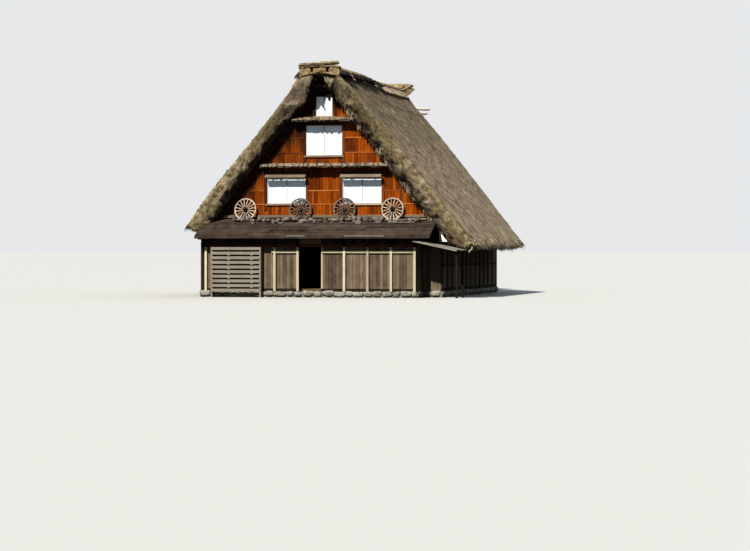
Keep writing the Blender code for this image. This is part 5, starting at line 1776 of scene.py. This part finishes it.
def build_ground_storey():
    """Boards between the posts of the ground storey, and pale posts along the front."""
    rng = np.random.default_rng(170)
    front = -AISLE_Y
    posts = [4.28 - 1.03 * n for n in range(10) if n != 4]
    upper, lower = [], []
    for right, left in zip(posts, posts[1:]):
        x0, x1 = left + GAP_HALF, right - GAP_HALF
        beside_door = left < -0.5 < right or left < 0 < right
        lower += upright_boards(0.165 if beside_door else x0, x1, *UNDER_RAIL, front, -0.022, rng)
        upper += upright_boards(x0, x1, *OVER_RAIL, front, -0.02, rng, 0.26)
    low, high = RAIL_Z
    caps = [(x - POST_HALF, front, 0.25, x + POST_HALF, front - 0.11, low) for x in posts]
    caps.append((0.16, front, 0.37, 0.235, front - 0.05, low))
    # Above the rail, the posts' heads and the front's upper boards take the dark wood: painted shade under
    # the skirt roof
    heads = [(x - POST_HALF, front, low, x + POST_HALF, front - 0.10, 2.60) for x in posts]
    box_piece("front_boards", lower, WALL_BOARDS, "dark_wood", 0.004)
    box_piece("front_upper_boards", upper, DARK_WOOD, "dark_wood", 0.004)
    box_piece("front_posts", caps, PALE_POSTS, "pale_boards", 0.008)
    box_piece("front_post_heads", heads, DARK_WOOD, "dark_wood", 0.006)
    rail = [(-5.05, front, low, 4.20, front - 0.038, high)]
    box_piece("front_rail", rail, POST_WOOD, "dark_wood", 0.006)
    strips = [(x0, front, 1.90, x1, front - 0.085, 2.02) for x0, x1 in ((-2.05, -0.87), (0.18, 4.20))]
    box_piece("front_strip", strips, PALE_POSTS, "pale_boards", 0.006)

    back = []
    edges = [-5.06] + sorted([-x for x in posts if abs(x) < 5.0] + [4.28]) + [5.06]
    for left, right in zip(edges, edges[1:]):
        if right - left > 0.3:
            x0, x1 = left + 0.055, right - 0.055
            back += upright_boards(x0, x1, *UNDER_RAIL, AISLE_Y, 0.022, rng)
            back += upright_boards(x0, x1, *OVER_RAIL, AISLE_Y, 0.02, rng, 0.26)
    box_piece("back_boards", back, WALL_BOARDS, "dark_wood", 0.004)

    for label, side, front_end in (("left", -1, AISLE_Y), ("right", 1, GABLE_Y)):
        side_wall(rng, label, side, -front_end + 0.01, AISLE_Y - 0.01)
    rows = []
    for y in np.arange(-7.12, -6.02, 0.157):
        rows.append((CORNER_X, y + 0.003, 0.27, CORNER_X + rng.uniform(0.012, 0.02), y + 0.154, 2.40))
    rows += upright_boards(CORNER_X + 0.03, SIDE_X - 0.02, 0.27, 2.16, -GABLE_Y, -0.02, rng)
    box_piece("corner_boards", rows, WALL_BOARDS, "dark_wood", 0.004)


def side_wall(rng, label, side, y_low, y_high):
    """Upright boards of one side wall, with thirteen posts and two long rails over them."""
    boards = []
    edges = np.linspace(y_low, y_high, int((y_high - y_low) / 0.16) + 1)
    for a, b in zip(edges, edges[1:]):
        out = SIDE_X + rng.uniform(0.012, 0.022)
        boards.append((side * SIDE_X, a + 0.003, 0.37, side * out, b - 0.003, 2.36))
    over = []
    for y in np.linspace(y_low + 0.06, y_high - 0.06, 13):
        over.append((side * SIDE_X, y - 0.055, 0.25, side * (SIDE_X + 0.05), y + 0.055, 2.38))
    for out, low, high in ((0.04, 0.25, 0.40), (0.036, 1.34, 1.44)):
        over.append((side * SIDE_X, y_low, low, side * (SIDE_X + out), y_high, high))
    box_piece(f"side_boards_{label}", boards, WALL_BOARDS, "dark_wood", 0.004)
    box_piece(f"side_posts_{label}", over, DARK_WOOD, "dark_wood", 0.006)


# Corners of the line of footing stones, once round the house
BASE_LINE = (
    (-5.25, -7.20),
    (4.40, -7.20),
    (4.40, -6.05),
    (5.25, -6.05),
    (5.25, 7.20),
    (-5.25, 7.20),
    (-5.25, -7.20),
)


def build_footing():
    """Footing stones round the base, one course of uneven blocks."""
    rng = np.random.default_rng(180)
    centres, sizes = [], []
    for start, stop in zip(BASE_LINE, BASE_LINE[1:]):
        start, stop = np.array(start), np.array(stop)
        length = np.linalg.norm(stop - start)
        d = (stop - start) / length
        s = 0.0
        while s < length - 0.1:
            long = min(rng.uniform(0.32, 0.62), length - s)
            p = start + d * (s + long / 2)
            high = rng.uniform(0.20, 0.24)
            centres.append((p[0], p[1], 0.03 + high * 0.58))
            sizes.append([long * 1.02, 0.13, high] if d[1] == 0 else [0.13, long * 1.02, high])
            s += long
    stones("footing_stones", centres, sizes, BASE_STONE, 181, 7, 12)


LEAN_X = (CORNER_X + 0.005, 6.39)
LEAN_TOP = 2.46
LEAN_FOOT = 2.02
BEAM_END_TOP = 2.71


def lean_to_z(x):
    """Height of the lean-to's roof line at x."""
    return LEAN_TOP - (LEAN_TOP - LEAN_FOOT) * (x - LEAN_X[0]) / (LEAN_X[1] - LEAN_X[0])


def lean_to_boards():
    """Split boards that run down the lean-to, each with its own lift and turn."""
    rng = np.random.default_rng(190)
    left, right = LEAN_X
    run = math.hypot(right - left, LEAN_TOP - LEAN_FOOT)
    down = np.array([right - left, 0.0, LEAN_FOOT - LEAN_TOP]) / run
    up = np.array([-down[2], 0.0, down[0]])
    centres, halves, lines = [], [], []
    edges = np.arange(-7.63, -6.02, 0.115)
    for y0, y1 in zip(edges, edges[1:]):
        more = rng.uniform(-0.02, 0.03)
        centre = np.array([(left + right) / 2, (y0 + y1) / 2, (LEAN_TOP + LEAN_FOOT) / 2])
        centres.append(centre + down * more / 2 + up * (0.010 + rng.uniform(0, 0.006)))
        halves.append([(run + more) / 2, (y1 - y0) / 2 + 0.006, 0.008])
        lines.append(down + np.array([0, rng.normal(0, 0.006), 0]))
    turn = turns(np.array(lines), np.tile([0.0, 1.0, 0.0], (len(lines), 1)))
    return np.array(centres), np.array(halves), turn


def beam_end_taper(points):
    """The pale beam end drawn in towards its top: a share of the height takes its width."""
    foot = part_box("eave_beam_right")[0]
    left = foot.x + 0.09
    share = (points[..., 2] - foot.z) / (BEAM_END_TOP - foot.z)
    points[..., 0] = left + ((points[..., 0] - left) * (1 - 0.82 * share) + 0.06 * (1 - share))
    return points


def build_lean_to():
    """Split boards on the lean-to, its pale edge board, the pale end of the beam, and a
    small hook at the eave: a circle carried down a line and round part of an arc."""
    box_piece("lean_to_boards", lean_to_boards(), LEAN_TO_BARK, "grey_bark", 0.003)
    x0, x1 = 4.28, 6.20
    z0, z1 = lean_to_z(x0), lean_to_z(x1)
    centre = np.array([[(x0 + x1) / 2, -7.645, (z0 + z1) / 2 - 0.045]])
    half = np.array([[math.hypot(x1 - x0, z1 - z0) / 2, 0.014, 0.045]])
    turn = turns(np.array([[x1 - x0, 0.0, z1 - z0]]), np.array([[0.0, 1.0, 0.0]]))
    box_piece("lean_to_edge_board", (centre, half, turn), PALE_BOARDS, "pale_boards", 0.005)
    low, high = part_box("eave_beam_right")
    rows = [(low.x + 0.09, low.y - 0.03, low.z, high.x + 0.10, low.y - 0.002, BEAM_END_TOP)]
    box_piece("beam_end", rows, WHITE_PAINT, "pale_boards", 0.006, beam_end_taper)
    t = np.linspace(0, 1, 13)
    angle = np.clip((t - 0.35) / 0.5, 0, 1) * np.pi * 0.72
    line = np.stack([6.64 - 0.08 * (1 - np.cos(angle)), np.full(13, -6.50), 2.20 - 0.26 * t], -1)
    tangent = np.gradient(line, axis=0)
    tangent /= np.linalg.norm(tangent, axis=1, keepdims=True)
    points, faces = pole(line, 0.040, [0.0, 1.0, 0.0], np.cross(tangent, [0.0, 1.0, 0.0]))
    piece("eave_hook", points, faces, POLE_WOOD, "pale_boards", crease=50)


# CAD nodes that stay, by how their names start

NODE_LOOKS = {
    "stone_base": BASE_STONE,
    "ground_floor": FLOOR_BOARDS,
    "attic_floor": FLOOR_BOARDS,
    "front_lintel": SILL_WOOD,
    "front_wall": DARK_WOOD,
    "corner_wall": DARK_WOOD,
    "back_wall": DARK_WOOD,
    "left_wall": DARK_WOOD,
    "right_wall": DARK_WOOD,
    "eave_beam": DARK_WOOD,
    "gable": GABLE_BACK,
    "rafters": POST_WOOD,
    "shoji": PAPER,
    "pent_roof": BARK,
    "skirt_roof": SKIRT,
    "lean_to_roof": DARK_WOOD,
    "board_screen": PALE_BOARDS,
    "thatch": THATCH,
    "ridge": RIDGE_STRAW,
    "cart_wheel": WHEEL_PALE,
}


def dress_nodes():
    """Give each carried-over solid the material of its kind."""
    for name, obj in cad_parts.items():
        look = next(material for start, material in NODE_LOOKS.items() if name.startswith(start))
        for index in range(len(obj.data.materials)):
            obj.data.materials[index] = look
        if not obj.data.materials:
            obj.data.materials.append(look)


# Stage


def build_stage():
    """Pale floor, soft light from the upper left, and the camera of the photograph."""
    half = 900.0
    corners = [(-half, -half, 0), (half, -half, 0), (half, half, 0), (-half, half, 0)]
    mesh = bpy.data.meshes.new("floor")
    mesh.from_pydata(corners, [], [(0, 1, 2, 3)])
    floor = bpy.data.objects.new("floor", mesh)
    bpy.context.scene.collection.objects.link(floor)
    material, tree, shader = new_material("pale_floor", 0.9, 0.5)
    seen = add(tree, "LightPath").outputs["Is Camera Ray"]
    colour = mixed(tree, seen, (0.10, 0.10, 0.09), (0.42, 0.42, 0.41))
    tree.links.new(colour, shader.inputs["Base Color"])
    mesh.materials.append(material)

    world = bpy.data.worlds.new("studio")
    world.use_nodes = True
    tree = world.node_tree
    sky = tree.nodes["Background"]
    sky.inputs["Color"].default_value = (0.78, 0.88, 1.0, 1)
    sky.inputs["Strength"].default_value = 0.22
    seen = add(tree, "Background", {"Color": (0.80, 0.81, 0.82, 1), "Strength": 0.72})
    path = add(tree, "LightPath")
    both = add(tree, "MixShader", {0: path.outputs["Is Camera Ray"]})
    tree.links.new(sky.outputs[0], both.inputs[1])
    tree.links.new(seen.outputs[0], both.inputs[2])
    tree.links.new(both.outputs[0], tree.nodes["World Output"].inputs[0])
    bpy.context.scene.world = world

    lights = (
        ("key", 4.9, 1.6, (1.0, 0.955, 0.88), (-0.222, -0.672, 0.706)),
        ("fill", 0.8, 70.0, (0.86, 0.93, 1.0), (0.50, 0.40, 0.77)),
    )
    for name, strength, spread, colour, toward in lights:
        light = bpy.data.lights.new(name, "SUN")
        light.energy = strength
        light.angle = math.radians(spread)
        light.color = colour
        lamp = bpy.data.objects.new(name, light)
        lamp.rotation_euler = Vector(toward).to_track_quat("Z", "Y").to_euler()
        bpy.context.scene.collection.objects.link(lamp)

    lens = bpy.data.cameras.new("camera")
    lens.sensor_width = 36.0
    lens.lens = 120.0
    lens.shift_y = -28.5 / 750
    lens.clip_end = 3000.0
    camera = bpy.data.objects.new("camera", lens)
    camera.location = (26.6, -111.4, 2.17)
    camera.rotation_euler = (math.pi / 2, 0.0, math.radians(13))
    bpy.context.scene.collection.objects.link(camera)
    bpy.context.scene.camera = camera
    bpy.context.scene.view_settings.view_transform = "Standard"
    bpy.context.scene.view_settings.look = "High Contrast"


def build_house():
    """Dress the whole farmhouse."""
    dress_nodes()
    build_thatch()
    build_straw()
    build_verge_straw()
    build_apex_straw()
    build_verge_tops()
    build_eave_straw()
    build_ridge()
    build_ridge_twigs()
    build_ridge_poles()
    for label, end in (("front", -1), ("back", 1)):
        build_gable(label, end)
        build_gable_walls(label, end)
        build_small_roofs(label, end)
    build_skirt("front", -1, 5.35, 5.05)
    build_skirt("back", 1, 5.05, 5.05)
    build_stones()
    build_wheels()
    build_ground_storey()
    build_footing()
    build_lean_to()


build_stage()
build_house()
